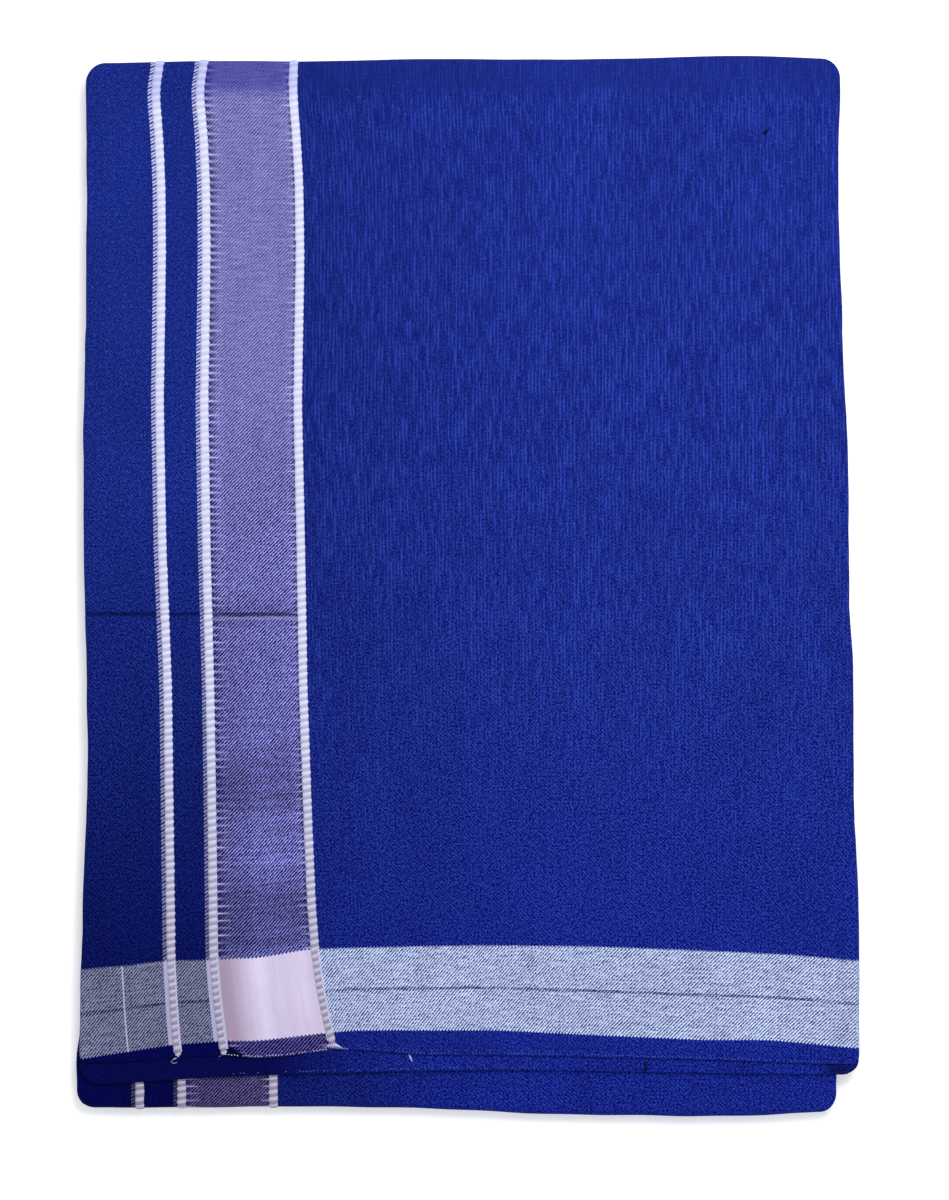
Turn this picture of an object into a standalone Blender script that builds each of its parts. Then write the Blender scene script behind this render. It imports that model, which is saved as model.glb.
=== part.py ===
"""A dhoti cloth: one woven length of cotton, folded in four across its width and then over and over
along its length, lying flat as a packet.

X runs across the packet, with the woven border near -X. +Y points away from the hemmed end, to the
far fold, and Z is up from the surface that the packet lies on. The origin is at the middle of the
underside. Lengths are in millimetres here, and each mesh is written in metres.

From the top down the packet holds:
  top_panel     the quarter of the cloth that shows, from its hemmed end to the far fold and round it
  second_panel  the quarters folded under it, whose hemmed end reaches a little further out
  second_turn   the next turn, whose near fold shows past both hemmed ends
  inner_turns   the turns below, which share one rounded solid, layered at its edges
The three cords of the woven border stand proud of the cloth. They are strips laid on its outer side,
long ones on the top panel and short ones where the second turn shows.
"""

import math
from collections import namedtuple

import bmesh
import bpy
from mathutils import Vector

MM = 0.001

# ---- the cloth and its packet ----
CLOTH_WIDTH = 1270.0
FOLDS_ACROSS = 4
PACKET_WIDTH = CLOTH_WIDTH / FOLDS_ACROSS
HALF_WIDTH = PACKET_WIDTH / 2
FAR_FOLD_Y = 218.0
NEAR_FOLD_Y = -217.0
TOP_HEM_Y = -196.0
SECOND_HEM_Y = -203.0
SECOND_TURN_FAR_Y = 205.0

# ---- heights from the surface up ----
WALL = 1.0
GAP = 0.3
FOURTH_TURN_TOP = 3.0
THIRD_TURN_LOW = 3.1
THIRD_TURN_TOP = 6.2
SECOND_TURN_LOW = 6.3
INNER_TOP = 8.1
TURN_TOP = INNER_TOP + GAP + WALL
SECOND_PANEL_TOP = 12.0
PANEL_TOP = SECOND_PANEL_TOP + GAP + WALL
HEM_WIDTH = 9.0
HEM_EXTRA = 0.3

# ---- rounded corners, seen from above ----
CORNER = 8.0
CORNER_LINE_SHARE = 0.45
END_PULL = 70.0

# ---- rolled edges ----
ARC_STEPS = 6
LIP_RADIUS = 1.4
LIP_LEG = 0.4
LIP_TUCK = 0.1
FAR_ROLL_REACH = 3.0
NEAR_ROLL_REACH = 2.6
ROLL_LEG = 1.1
FAR_SINK_START = 11.0
FAR_SINK = 1.0
NEAR_SINK_START = 46.0
NEAR_SINK = 0.6
# How soon a corner takes on the shape of the end that it leads to.
LID_HASTE = 1.0
SLAB_HASTE = 3.0

# ---- the border's raised cords ----
CORD_WIDTH = 3.6
CORD_HEIGHT = 0.6
CORD_ARCH = ((-0.5, 0.0), (-0.38, 0.75), (0.0, 1.0), (0.38, 0.75), (0.5, 0.0))
CORD_ARC_ROWS = 5

BLUE_COTTON = (0.011, 0.027, 0.305, 1.0)
WHITE_CORD = (0.665, 0.638, 0.745, 1.0)
COTTON_ROUGHNESS = 0.85
CORD_ROUGHNESS = 0.7

# How far the cloth's edges reach to each side, row by row along the packet. The packet was pulled a
# little askew, so the near end leans to +X and the far end to -X.
Side = namedtuple("Side", "y left right")
FIRST_TURN_SIDES = [
    Side(-199.0, -163.0, 162.9),
    Side(-188.0, -161.2, 162.7),
    Side(-155.0, -160.2, 162.7),
    Side(-122.0, -159.0, 161.9),
    Side(-89.0, -157.9, 160.4),
    Side(-55.0, -157.3, 160.2),
    Side(-22.0, -158.3, 160.0),
    Side(-11.0, -158.7, 158.4),
    Side(11.0, -159.0, 158.5),
    Side(60.0, -159.2, 157.7),
    Side(94.0, -158.6, 156.1),
    Side(143.0, -157.8, 154.4),
    Side(193.0, -158.1, 154.0),
    Side(207.0, -158.1, 155.4),
    Side(218.0, -158.1, 155.4),
]
SECOND_TURN_SIDES = [
    Side(-217.0, -161.8, 153.0),
    Side(-195.0, -161.6, 153.0),
    Side(-160.0, -159.4, 157.6),
    Side(-60.0, -156.6, 159.0),
    Side(60.0, -158.0, 156.8),
    Side(160.0, -157.0, 153.4),
    Side(208.0, -155.6, 152.4),
]
INNER_SIDES = [
    Side(-217.0, -158.6, 151.6),
    Side(-120.0, -157.4, 157.0),
    Side(0.0, -157.4, 157.6),
    Side(120.0, -157.0, 154.0),
    Side(218.0, -156.8, 153.4),
]

# Where the folds and the hemmed ends lie, column by column across the packet.
End = namedtuple("End", "x y")
FAR_FOLD = [
    End(-152.0, 217.0),
    End(-98.0, 218.2),
    End(-61.0, 217.6),
    End(-23.0, 218.4),
    End(57.0, 218.2),
    End(113.0, 219.9),
    End(152.0, 218.2),
]
NEAR_FOLD = [
    End(-157.0, -216.6),
    End(-110.0, -216.6),
    End(-73.0, -215.8),
    End(-11.0, -217.0),
    End(39.0, -219.1),
    End(88.0, -219.9),
    End(113.0, -219.9),
    End(151.0, -217.4),
]
TOP_HEM = [
    End(-161.0, -199.6),
    End(-120.0, -195.7),
    End(-77.0, -193.4),
    End(-54.0, -191.9),
    End(-25.0, -194.8),
    End(6.0, -194.8),
    End(97.0, -196.7),
    End(162.0, -199.2),
]
SECOND_HEM = [
    End(-161.0, -208.0),
    End(-136.0, -206.2),
    End(-118.0, -205.0),
    End(-80.0, -203.2),
    End(6.0, -201.2),
    End(74.0, -202.2),
    End(158.0, -203.2),
]
SECOND_TURN_END = [End(0.0, SECOND_TURN_FAR_Y)]

# Grid lines between the rounded corners. The crease takes three of them, and the hem five.
LINES_ACROSS = (-138.0, -116.0, -94.0, -72.0, -48.0, -20.0, 10.0, 40.0, 70.0, 100.0, 128.0)
LINES_ALONG = (-160.0, -134.0, -108.0, -82.0, -56.0, -32.0, -15.1, -10.8, -6.5, 14.0, 40.0, 66.0,
               92.0, 118.0, 144.0, 170.0, 190.0, 206.0)
HEM_LINES = (1.0, 5.0, 8.0, 10.0, 16.0)
HIDDEN_LINES_ACROSS = (-100.0, 0.0, 100.0)
HIDDEN_LINES_ALONG = (-160.0, -110.0, -60.0, 0.0, 60.0, 120.0, 170.0)

# The soft swells that the first turn lies in, and the crease where it was once folded in half.
Swell = namedtuple("Swell", "x y half_width half_length height")
BASE_SWELL = 0.55
SWELLS = [
    Swell(-40.0, 118.0, 70.0, 60.0, 0.35),
    Swell(84.0, 52.0, 66.0, 54.0, 0.45),
    Swell(112.0, -92.0, 54.0, 60.0, 0.40),
    Swell(-46.0, -84.0, 70.0, 52.0, 0.30),
    Swell(20.0, -168.0, 60.0, 26.0, 0.25),
]
SWELL_FADE = 18.0
SWELL_NEAR_FADE = 46.0
CREASE_Y = -10.8
CREASE_HALF_WIDTH = 4.3
CREASE_DEPTH_LEFT = 0.55
CREASE_DEPTH_RIGHT = 0.20

# The rounded edges of the hidden turns: each is one fold between two heights, set in from the side
# of the packet, and drawn back by its depth where it meets the next one.
Fold = namedtuple("Fold", "low high inset depth")
SIDE_FOLDS = [
    Fold(0.0, 1.5, 0.0, 0.8),
    Fold(1.5, FOURTH_TURN_TOP, 0.2, 0.8),
    Fold(THIRD_TURN_LOW, 4.65, 0.1, 0.8),
    Fold(4.65, THIRD_TURN_TOP, 0.3, 0.8),
    Fold(SECOND_TURN_LOW, 7.3, 0.2, 0.6),
    Fold(7.3, INNER_TOP, 3.4, 0.3),
]
NEAR_FOLDS = [
    Fold(0.0, FOURTH_TURN_TOP, 0.0, 1.6),
    Fold(THIRD_TURN_LOW, 4.7, 5.2, 0.3),
    Fold(4.7, INNER_TOP, 2.8, 1.6),
]
FAR_FOLDS = [
    Fold(0.0, THIRD_TURN_TOP, 0.0, 2.8),
    Fold(SECOND_TURN_LOW, INNER_TOP, 6.8, 0.2),
]
FOLD_STEPS = (1.0, 0.75, 0.0, -0.75, -1.0)

# The second panel's edge from its top down: how far it lies inside the packet's edge at each depth.
# The top panel's lip hangs over its upper part at the sides. Its lower part is thinner where it sank.
LOWER_PART = 0.85
Rim = namedtuple("Rim", "depth side near far")
SECOND_RIM = [
    Rim(0.0, 1.8, 0.5, 4.6),
    Rim(0.3, 1.5, 0.0, 4.0),
    Rim(0.7, 1.5, 0.3, 3.8),
    Rim(0.85, 0.5, 0.8, 3.8),
    Rim(1.5, 0.0, 0.6, 3.8),
    Rim(2.2, 0.5, 1.3, 4.2),
    Rim(2.3, 1.2, 1.6, 4.6),
]

# Where each cord of the border runs, row by row, on the top panel and on the second turn.
CordRow = namedtuple("CordRow", "y first second third")
CORD_ROWS = [
    CordRow(-194.6, -119.6, -100.5, -54.5),
    CordRow(-182.6, -120.8, -102.0, -57.2),
    CordRow(-172.6, -121.4, -103.2, -59.5),
    CordRow(-152.7, -122.5, -104.9, -62.6),
    CordRow(-132.8, -122.7, -105.1, -64.2),
    CordRow(-103.0, -123.1, -105.4, -65.5),
    CordRow(-43.3, -123.9, -106.5, -68.0),
    CordRow(16.4, -126.4, -108.0, -69.0),
    CordRow(76.1, -127.4, -108.8, -70.2),
    CordRow(135.7, -126.6, -108.2, -69.4),
    CordRow(165.6, -126.8, -108.4, -69.8),
    CordRow(185.5, -127.5, -109.0, -70.7),
    CordRow(205.4, -129.1, -110.9, -72.1),
    CordRow(218.0, -128.6, -110.2, -72.1),
]
TURN_CORD_ROWS = [
    CordRow(-217.0, -135.9, -118.5, -80.4),
    CordRow(-200.0, -135.5, -118.1, -80.0),
]

# A value at the sides, at the near end and at the far end.
Around = namedtuple("Around", "side near far")


def read_table(rows, at, key, value):
    """Reads a table between its rows, along a curve that passes through each one without a kink."""
    places = [getattr(row, key) for row in rows]
    values = [getattr(row, value) for row in rows]
    if at <= places[0]:
        return values[0]
    if at >= places[-1]:
        return values[-1]
    after = next(i for i, place in enumerate(places) if place > at)
    before = after - 1
    span = places[after] - places[before]
    share = (at - places[before]) / span

    def slope(i):
        low, high = max(i - 1, 0), min(i + 1, len(rows) - 1)
        return (values[high] - values[low]) / (places[high] - places[low]) * span

    cube, square = share**3, share**2
    return (
        (2 * cube - 3 * square + 1) * values[before]
        + (cube - 2 * square + share) * slope(before)
        + (3 * square - 2 * cube) * values[after]
        + (cube - square) * slope(after)
    )


def ease(share):
    """0 below 0, 1 above 1, and a soft step between."""
    share = min(max(share, 0.0), 1.0)
    return share * share * (3 - 2 * share)


def swell_height(x, y):
    """How far the first turn swells up from the turns below it."""
    fade = ease((HALF_WIDTH - abs(x)) / SWELL_FADE)
    fade *= ease((FAR_FOLD_Y - y) / SWELL_FADE) * ease((y - TOP_HEM_Y) / SWELL_NEAR_FADE)
    height = BASE_SWELL
    for swell in SWELLS:
        distance = math.hypot((x - swell.x) / swell.half_width, (y - swell.y) / swell.half_length)
        height += swell.height * ease(1 - distance)
    share = (x + HALF_WIDTH) / PACKET_WIDTH
    depth = CREASE_DEPTH_LEFT + (CREASE_DEPTH_RIGHT - CREASE_DEPTH_LEFT) * share
    return fade * (height - depth * ease(1 - abs(y - CREASE_Y) / CREASE_HALF_WIDTH))


def sink(x, y):
    """How far the first turn has sunk as it nears the far fold and its hemmed end."""
    far_start = read_table(FAR_FOLD, x, "x", "y") - FAR_SINK_START
    near = NEAR_SINK * ease((TOP_HEM_Y + NEAR_SINK_START - y) / NEAR_SINK_START)
    return near + FAR_SINK * max(0.0, (y - far_start) / FAR_SINK_START) ** 2


def top_panel_height(x, y):
    hem_start = read_table(TOP_HEM, x, "x", "y") + HEM_WIDTH
    return PANEL_TOP + swell_height(x, y) - sink(x, y) + HEM_EXTRA * ease((hem_start + 1 - y) / 2)


def second_panel_height(x, y):
    return SECOND_PANEL_TOP + swell_height(x, y) - sink(x, y)


class Plan:
    """The outline of one stretch seen from above, and the grid of lines that crosses it.

    It starts as a rectangle, whose corners are rounded at each end that isn't open. `place` then pulls
    it to where the cloth's sides and ends really lie. The reach is how far the rolled edge goes past
    the grid.
    """

    def __init__(self, near, far, sides, reach, across, along, open_end=None):
        self.near_y, self.near_ends = near
        self.far_y, self.far_ends = far
        self.sides, self.reach, self.open_end = sides, reach, open_end
        near_reach = None if open_end == "near" else reach.near
        far_reach = None if open_end == "far" else reach.far
        self.across = self.with_corners(-HALF_WIDTH, HALF_WIDTH, across, reach.side, reach.side)
        self.along = self.with_corners(self.near_y, self.far_y, along, near_reach, far_reach)
        self.last_i, self.last_j = len(self.across) - 1, len(self.along) - 1

    @staticmethod
    def with_corners(low, high, between, low_reach, high_reach):
        """The grid's lines one way: a rounded corner takes three, and an open end takes one."""
        start, end = [low], [high]
        if low_reach is not None:
            step = CORNER_LINE_SHARE * (CORNER - low_reach)
            start = [low + low_reach, low + low_reach + step, low + CORNER]
        if high_reach is not None:
            step = CORNER_LINE_SHARE * (CORNER - high_reach)
            end = [high - CORNER, high - high_reach - step, high - high_reach]
        return start + [line for line in between if start[-1] < line < end[0]] + end

    def corner_turn(self, i, j):
        """How far round its corner a crossing lies, from the side to the end, or None off a corner."""
        for from_x in (i, self.last_i - i):
            for name, from_y in (("near", j), ("far", self.last_j - j)):
                if name != self.open_end and min(from_x, from_y) == 0 and from_x + from_y <= 2:
                    return math.radians(45.0 + 22.5 * (from_x - from_y))
        return None

    def outward(self, i, j):
        """The way out of the outline at a crossing on it."""
        sign_x = -1.0 if i <= self.last_i / 2 else 1.0
        sign_y = -1.0 if j <= self.last_j / 2 else 1.0
        turn = self.corner_turn(i, j)
        if turn is None:
            turn = 0.0 if i in (0, self.last_i) else math.pi / 2
        return Vector((sign_x * math.cos(turn), sign_y * math.sin(turn)))

    def share_out(self, i, j, row, haste):
        """A value between a row's value at the sides and at the end, by the way out."""
        out = self.outward(i, j)
        share = min(1.0, haste * out.y * out.y)
        return row.side + share * ((row.far if out.y > 0 else row.near) - row.side)

    def crossing(self, i, j, inset=None):
        """Where two lines cross before the outline is pulled to shape. The inset is the outline's."""
        at = Vector((self.across[i], self.along[j]))
        at_end = (j == 0 and self.open_end != "near") or (j == self.last_j and self.open_end != "far")
        if i not in (0, self.last_i) and not at_end:
            return at
        if inset is None:
            inset = self.share_out(i, j, self.reach, LID_HASTE)
        out = self.outward(i, j)
        sign_x, sign_y = math.copysign(1.0, out.x), math.copysign(1.0, out.y)
        end_y = self.far_y if sign_y > 0 else self.near_y
        if self.corner_turn(i, j) is not None:
            centre = Vector((sign_x * (HALF_WIDTH - CORNER), end_y - sign_y * CORNER))
            return centre + out * (CORNER - inset)
        if at_end:
            return Vector((at.x, end_y - sign_y * inset))
        return Vector((sign_x * (HALF_WIDTH - inset), at.y))

    def place(self, at):
        """Pulls a point of the plain outline to where the cloth lies."""
        left = read_table(self.sides, at.y, "y", "left") + HALF_WIDTH
        right = read_table(self.sides, at.y, "y", "right") - HALF_WIDTH
        x = at.x + left + (right - left) * (at.x + HALF_WIDTH) / PACKET_WIDTH
        near_pull = max(0.0, 1 - (at.y - self.near_y) / END_PULL) ** 2
        far_pull = max(0.0, 1 - (self.far_y - at.y) / END_PULL) ** 2
        y = at.y + near_pull * (read_table(self.near_ends, x, "x", "y") - self.near_y)
        y += far_pull * (read_table(self.far_ends, x, "x", "y") - self.far_y)
        return Vector((x, y))

    def edge(self):
        """The crossings round the outline in order, leaving out an open end."""
        left = [(0, j) for j in range(self.last_j + 1)]
        far = [(i, self.last_j) for i in range(1, self.last_i)]
        right = [(self.last_i, j) for j in range(self.last_j, -1, -1)]
        near = [(i, 0) for i in range(self.last_i - 1, 0, -1)]
        if self.open_end == "near":
            return left + far + right
        if self.open_end == "far":
            return right + near + left
        return left + far + right + near


class Surface:
    """The points and faces of one stretch: a grid on top, then rings down its rolled edge."""

    def __init__(self, plan, height):
        self.plan = plan
        self.points, self.faces, self.grid = [], [], {}
        for i in range(plan.last_i + 1):
            for j in range(plan.last_j + 1):
                at = plan.place(plan.crossing(i, j))
                self.grid[i, j] = self.add_point(at, height(at.x, at.y))
        self.add_grid_faces(self.grid, facing_up=True)
        self.edge = plan.edge()
        self.rings = [[self.grid[at] for at in self.edge]]

    def add_point(self, at, z):
        self.points.append(Vector((at.x, at.y, z)))
        return len(self.points) - 1

    def add_grid_faces(self, grid, facing_up):
        for i in range(self.plan.last_i):
            for j in range(self.plan.last_j):
                face = (grid[i, j], grid[i + 1, j], grid[i + 1, j + 1], grid[i, j + 1])
                self.faces.append(face if facing_up else face[::-1])

    def add_ring(self, inset, depth, haste):
        """A ring below the edge of the grid, joined to the one before. It closes unless an end is open.

        The depth is a row of values, as the inset is, or a function of the height of the grid's edge.
        """
        ring = []
        for (i, j), top in zip(self.edge, self.rings[0]):
            at = self.plan.place(self.plan.crossing(i, j, self.plan.share_out(i, j, inset, haste)))
            height = self.points[top].z
            down = depth(height) if callable(depth) else self.plan.share_out(i, j, depth, haste)
            ring.append(self.add_point(at, height - down))
        before = self.rings[-1]
        for k in range(len(ring) - (self.plan.open_end is not None)):
            after = (k + 1) % len(ring)
            self.faces.append((before[k], before[after], ring[after], ring[k]))
        self.rings.append(ring)

    def close_below(self, z):
        """A flat underside at one height, inside the last ring."""
        below = dict(zip(self.edge, self.rings[-1]))
        for index in self.rings[-1]:
            self.points[index].z = z
        for at, top in self.grid.items():
            if at not in below:
                below[at] = self.add_point(self.points[top], z)
        self.add_grid_faces(below, facing_up=False)

    def rows_to(self, end):
        """Rows of points across the surface, in order up to one end and then down round its roll."""
        columns = range(2, self.plan.last_i - 1)
        last = self.plan.last_j if end == "far" else 0
        order = range(self.plan.last_j + 1) if end == "far" else range(self.plan.last_j, -1, -1)
        rows = [[self.points[self.grid[i, j]] for i in columns] for j in order]
        at_end = [self.edge.index((i, last)) for i in columns]
        return rows + [[self.points[ring[k]] for k in at_end] for ring in self.rings[1:]]


def outward_mesh(name, points, faces):
    """A mesh in metres. Its faces point out of a closed body, and up on an open surface."""
    mesh = bpy.data.meshes.new(name)
    mesh.from_pydata([point * MM for point in points], [], faces)
    bm = bmesh.new()
    bm.from_mesh(mesh)
    bmesh.ops.recalc_face_normals(bm, faces=bm.faces)
    highest = max(bm.faces, key=lambda face: face.calc_center_median().z)
    if highest.normal.z < 0:
        bmesh.ops.reverse_faces(bm, faces=bm.faces)
    bm.to_mesh(mesh)
    bm.free()
    return mesh


def lip():
    """(inset, depth) down a folded side: a quarter turn and a short leg."""
    arc = [math.pi / 2 * k / ARC_STEPS for k in range(1, ARC_STEPS + 1)]
    steps = [(LIP_RADIUS * (1 - math.sin(a)), LIP_RADIUS * (1 - math.cos(a))) for a in arc]
    return steps + [(LIP_TUCK, LIP_RADIUS + LIP_LEG)]


def roll(reach, top, bottom):
    """(inset, depth) round a fold between two heights: half an oval, and a leg back in."""
    arc = [math.pi * k / ARC_STEPS for k in range(1, ARC_STEPS + 1)]
    half = (top - bottom) / 2
    steps = [(reach * (1 - math.sin(a)), half * (1 - math.cos(a))) for a in arc]
    return steps + [(reach + ROLL_LEG, top - bottom)]


def lid_rings(near, far):
    """(inset, depth) of each ring of a panel with a lip down its sides and the given steps at its ends."""
    return [
        (Around(side[0], at_near[0], at_far[0]), Around(side[1], at_near[1], at_far[1]))
        for side, at_near, at_far in zip(lip(), near, far)
    ]


def fold_inset(folds, z):
    """How far in the hidden turns' edge lies at one height."""
    fold = next(fold for fold in folds if fold.low <= z <= fold.high)
    share = min(1.0, abs(2 * z - fold.low - fold.high) / (fold.high - fold.low))
    return fold.inset + fold.depth * (1 - math.sqrt(1 - share**2))


def top_panel_surface():
    along = [TOP_HEM_Y + line for line in HEM_LINES] + list(LINES_ALONG)
    reach = Around(LIP_RADIUS, 0.0, FAR_ROLL_REACH)
    near, far = (TOP_HEM_Y, TOP_HEM), (FAR_FOLD_Y, FAR_FOLD)
    surface = Surface(Plan(near, far, FIRST_TURN_SIDES, reach, LINES_ACROSS, along, "near"), top_panel_height)
    roll_top = PANEL_TOP - FAR_SINK * (1 - FAR_ROLL_REACH / FAR_SINK_START) ** 2
    for inset, depth in lid_rings(lip(), roll(FAR_ROLL_REACH, roll_top, SECOND_TURN_LOW + GAP)):
        surface.add_ring(inset, depth, LID_HASTE)
    return surface


def second_panel_surface():
    along = [TOP_HEM_Y + line for line in HEM_LINES] + list(LINES_ALONG)
    near, far = (SECOND_HEM_Y, SECOND_HEM), (FAR_FOLD_Y, FAR_FOLD)
    plan = Plan(near, far, FIRST_TURN_SIDES, SECOND_RIM[0], LINES_ACROSS, along)
    surface = Surface(plan, second_panel_height)
    bottom, full = TURN_TOP + GAP, SECOND_RIM[-1].depth - LOWER_PART
    for rim in SECOND_RIM[1:]:

        def depth(height, lower=max(0.0, rim.depth - LOWER_PART)):
            return rim.depth - lower + lower * (height - bottom - LOWER_PART) / full

        surface.add_ring(rim, depth, SLAB_HASTE)
    surface.close_below(bottom)
    return surface


def second_turn_surface():
    reach = Around(LIP_RADIUS, NEAR_ROLL_REACH, 0.0)
    near, far = (NEAR_FOLD_Y, NEAR_FOLD), (SECOND_TURN_FAR_Y, SECOND_TURN_END)
    plan = Plan(near, far, SECOND_TURN_SIDES, reach, LINES_ACROSS, HIDDEN_LINES_ALONG, "far")
    surface = Surface(plan, lambda x, y: TURN_TOP)
    for inset, depth in lid_rings(roll(NEAR_ROLL_REACH, TURN_TOP, THIRD_TURN_LOW + GAP), lip()):
        surface.add_ring(inset, depth, LID_HASTE)
    return surface


def inner_turns_surface():
    """The hidden turns, from the top down."""
    heights = {
        round((fold.low + fold.high + step * (fold.high - fold.low)) / 2, 3)
        for fold in SIDE_FOLDS
        for step in FOLD_STEPS
    }
    folds = (SIDE_FOLDS, NEAR_FOLDS, FAR_FOLDS)
    rings = [
        (Around(*(fold_inset(rows, z) for rows in folds)), INNER_TOP - z)
        for z in sorted(heights, reverse=True)
    ]
    near, far = (NEAR_FOLD_Y, NEAR_FOLD), (FAR_FOLD_Y, FAR_FOLD)
    plan = Plan(near, far, INNER_SIDES, rings[0][0], HIDDEN_LINES_ACROSS, HIDDEN_LINES_ALONG)
    surface = Surface(plan, lambda x, y: INNER_TOP)
    for inset, depth in rings[1:]:
        surface.add_ring(inset, Around(depth, depth, depth), SLAB_HASTE)
    surface.close_below(0.0)
    return surface


def point_across(row, x):
    """The point of a row at x, on the straight stretch between its neighbours."""
    before, after = next(pair for pair in zip(row, row[1:]) if pair[1].x >= x)
    return before.lerp(after, (x - before.x) / (after.x - before.x))


def cord_mesh(name, rows, table, column, across):
    """A raised cord: an arched strip along a panel's rows of points, held off it by the gap."""
    path = [point_across(row, read_table(table, row[len(row) // 4].y, "y", column)) for row in rows]
    points, faces = [], []
    for k, at in enumerate(path):
        along = (path[min(k + 1, len(path) - 1)] - path[max(k - 1, 0)]).normalized()
        side = (across - along * across.dot(along)).normalized()
        out = side.cross(along)
        for width, height in CORD_ARCH:
            points.append(at + side * width * CORD_WIDTH + out * (GAP + height * CORD_HEIGHT))
    size = len(CORD_ARCH)
    for start in range(0, len(points) - size, size):
        for n in range(size):
            after = (n + 1) % size
            faces.append((start + n, start + after, start + size + after, start + size + n))
    faces.append(tuple(range(size)))
    faces.append(tuple(range(len(points) - size, len(points))))
    return outward_mesh(name, points, faces)


def turn_cord_rows(surface):
    """The second turn's rows, from just clear of the second panel's hem to partway round its fold."""
    rows = surface.rows_to("near")
    last_flat = surface.plan.last_j
    clear = [
        Vector((at.x, read_table(SECOND_HEM, at.x, "x", "y") - 2 * GAP, at.z))
        for at in rows[last_flat]
    ]
    return [clear] + rows[last_flat:last_flat + CORD_ARC_ROWS]


def cotton(name, colour, roughness):
    material = bpy.data.materials.new(name)
    material.use_nodes = True
    shader = material.node_tree.nodes["Principled BSDF"]
    shader.inputs["Base Color"].default_value = colour
    shader.inputs["Roughness"].default_value = roughness
    shader.inputs["Metallic"].default_value = 0.0
    return material


def add_object(mesh, material, collection, wall=None):
    """Adds one sub-part. A panel's surface gets its wall inward, under the side that shows."""
    obj = bpy.data.objects.new(mesh.name, mesh)
    mesh.materials.append(material)
    collection.objects.link(obj)
    if wall:
        solidify = obj.modifiers.new("wall", "SOLIDIFY")
        solidify.thickness = wall * MM
        solidify.offset = -1.0
        solidify.use_even_offset = True
    return obj


def centre_on_origin(objects):
    """Moves the meshes so that the middle of the packet's outline is at the origin."""
    points = [vertex.co for obj in objects for vertex in obj.data.vertices]
    middle_x = (min(p.x for p in points) + max(p.x for p in points)) / 2
    middle_y = (min(p.y for p in points) + max(p.y for p in points)) / 2
    for point in points:
        point.x -= middle_x
        point.y -= middle_y


def build():
    for obj in list(bpy.data.objects):
        bpy.data.objects.remove(obj)
    collection = bpy.data.collections.new("dhoti_cloth")
    bpy.context.scene.collection.children.link(collection)
    blue = cotton("blue_cotton", BLUE_COTTON, COTTON_ROUGHNESS)
    white = cotton("white_cord", WHITE_CORD, CORD_ROUGHNESS)

    top_panel = top_panel_surface()
    second_panel = second_panel_surface()
    second_turn = second_turn_surface()
    inner_turns = inner_turns_surface()
    objects = [
        add_object(outward_mesh("top_panel", top_panel.points, top_panel.faces), blue, collection, WALL),
        add_object(outward_mesh("second_panel", second_panel.points, second_panel.faces), blue, collection),
        add_object(
            outward_mesh("second_turn", second_turn.points, second_turn.faces), blue, collection, WALL
        ),
        add_object(outward_mesh("inner_turns", inner_turns.points, inner_turns.faces), blue, collection),
    ]
    panel_rows = top_panel.rows_to("far")[:-2]
    turn_rows = turn_cord_rows(second_turn)
    for column in ("first", "second", "third"):
        long_cord = cord_mesh(f"{column}_cord", panel_rows, CORD_ROWS, column, Vector((1, 0, 0)))
        short_cord = cord_mesh(f"{column}_cord_turn", turn_rows, TURN_CORD_ROWS, column, Vector((-1, 0, 0)))
        objects += [add_object(long_cord, white, collection), add_object(short_cord, white, collection)]
    centre_on_origin(objects)


build()
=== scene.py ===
import math
import random

import bpy
import numpy as np
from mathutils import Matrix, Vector
from mathutils.bvhtree import BVHTree


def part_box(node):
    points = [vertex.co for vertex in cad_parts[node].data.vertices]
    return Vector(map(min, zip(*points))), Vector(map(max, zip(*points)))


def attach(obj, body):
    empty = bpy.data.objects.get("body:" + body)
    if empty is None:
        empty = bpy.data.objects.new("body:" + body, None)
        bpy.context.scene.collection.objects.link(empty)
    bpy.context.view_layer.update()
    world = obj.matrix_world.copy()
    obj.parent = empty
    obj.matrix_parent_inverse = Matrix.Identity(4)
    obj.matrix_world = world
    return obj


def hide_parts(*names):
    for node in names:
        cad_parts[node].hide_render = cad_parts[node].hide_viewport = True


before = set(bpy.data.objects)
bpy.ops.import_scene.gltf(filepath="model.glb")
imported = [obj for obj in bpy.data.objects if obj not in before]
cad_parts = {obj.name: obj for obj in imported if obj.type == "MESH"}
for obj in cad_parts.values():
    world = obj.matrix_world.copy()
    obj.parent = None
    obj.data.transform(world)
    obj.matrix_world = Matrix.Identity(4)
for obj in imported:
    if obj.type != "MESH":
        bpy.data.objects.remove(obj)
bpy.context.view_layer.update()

# ---- the table, the lamps and the camera ----
# The packet lies on a plain pale light table. A broad soft lamp stands up and to the right of it, and
# a weaker one across from it, so the light falls off towards the lower left. The camera looks
# straight down.
MM = 0.001


def from_hex(colour):
    """An sRGB hex colour as the linear one that a shader takes."""
    shares = [int(colour[at:at + 2], 16) / 255 for at in (1, 3, 5)]
    return [c / 12.92 if c <= 0.04045 else ((c + 0.055) / 1.055) ** 2.4 for c in shares] + [1.0]


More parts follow.
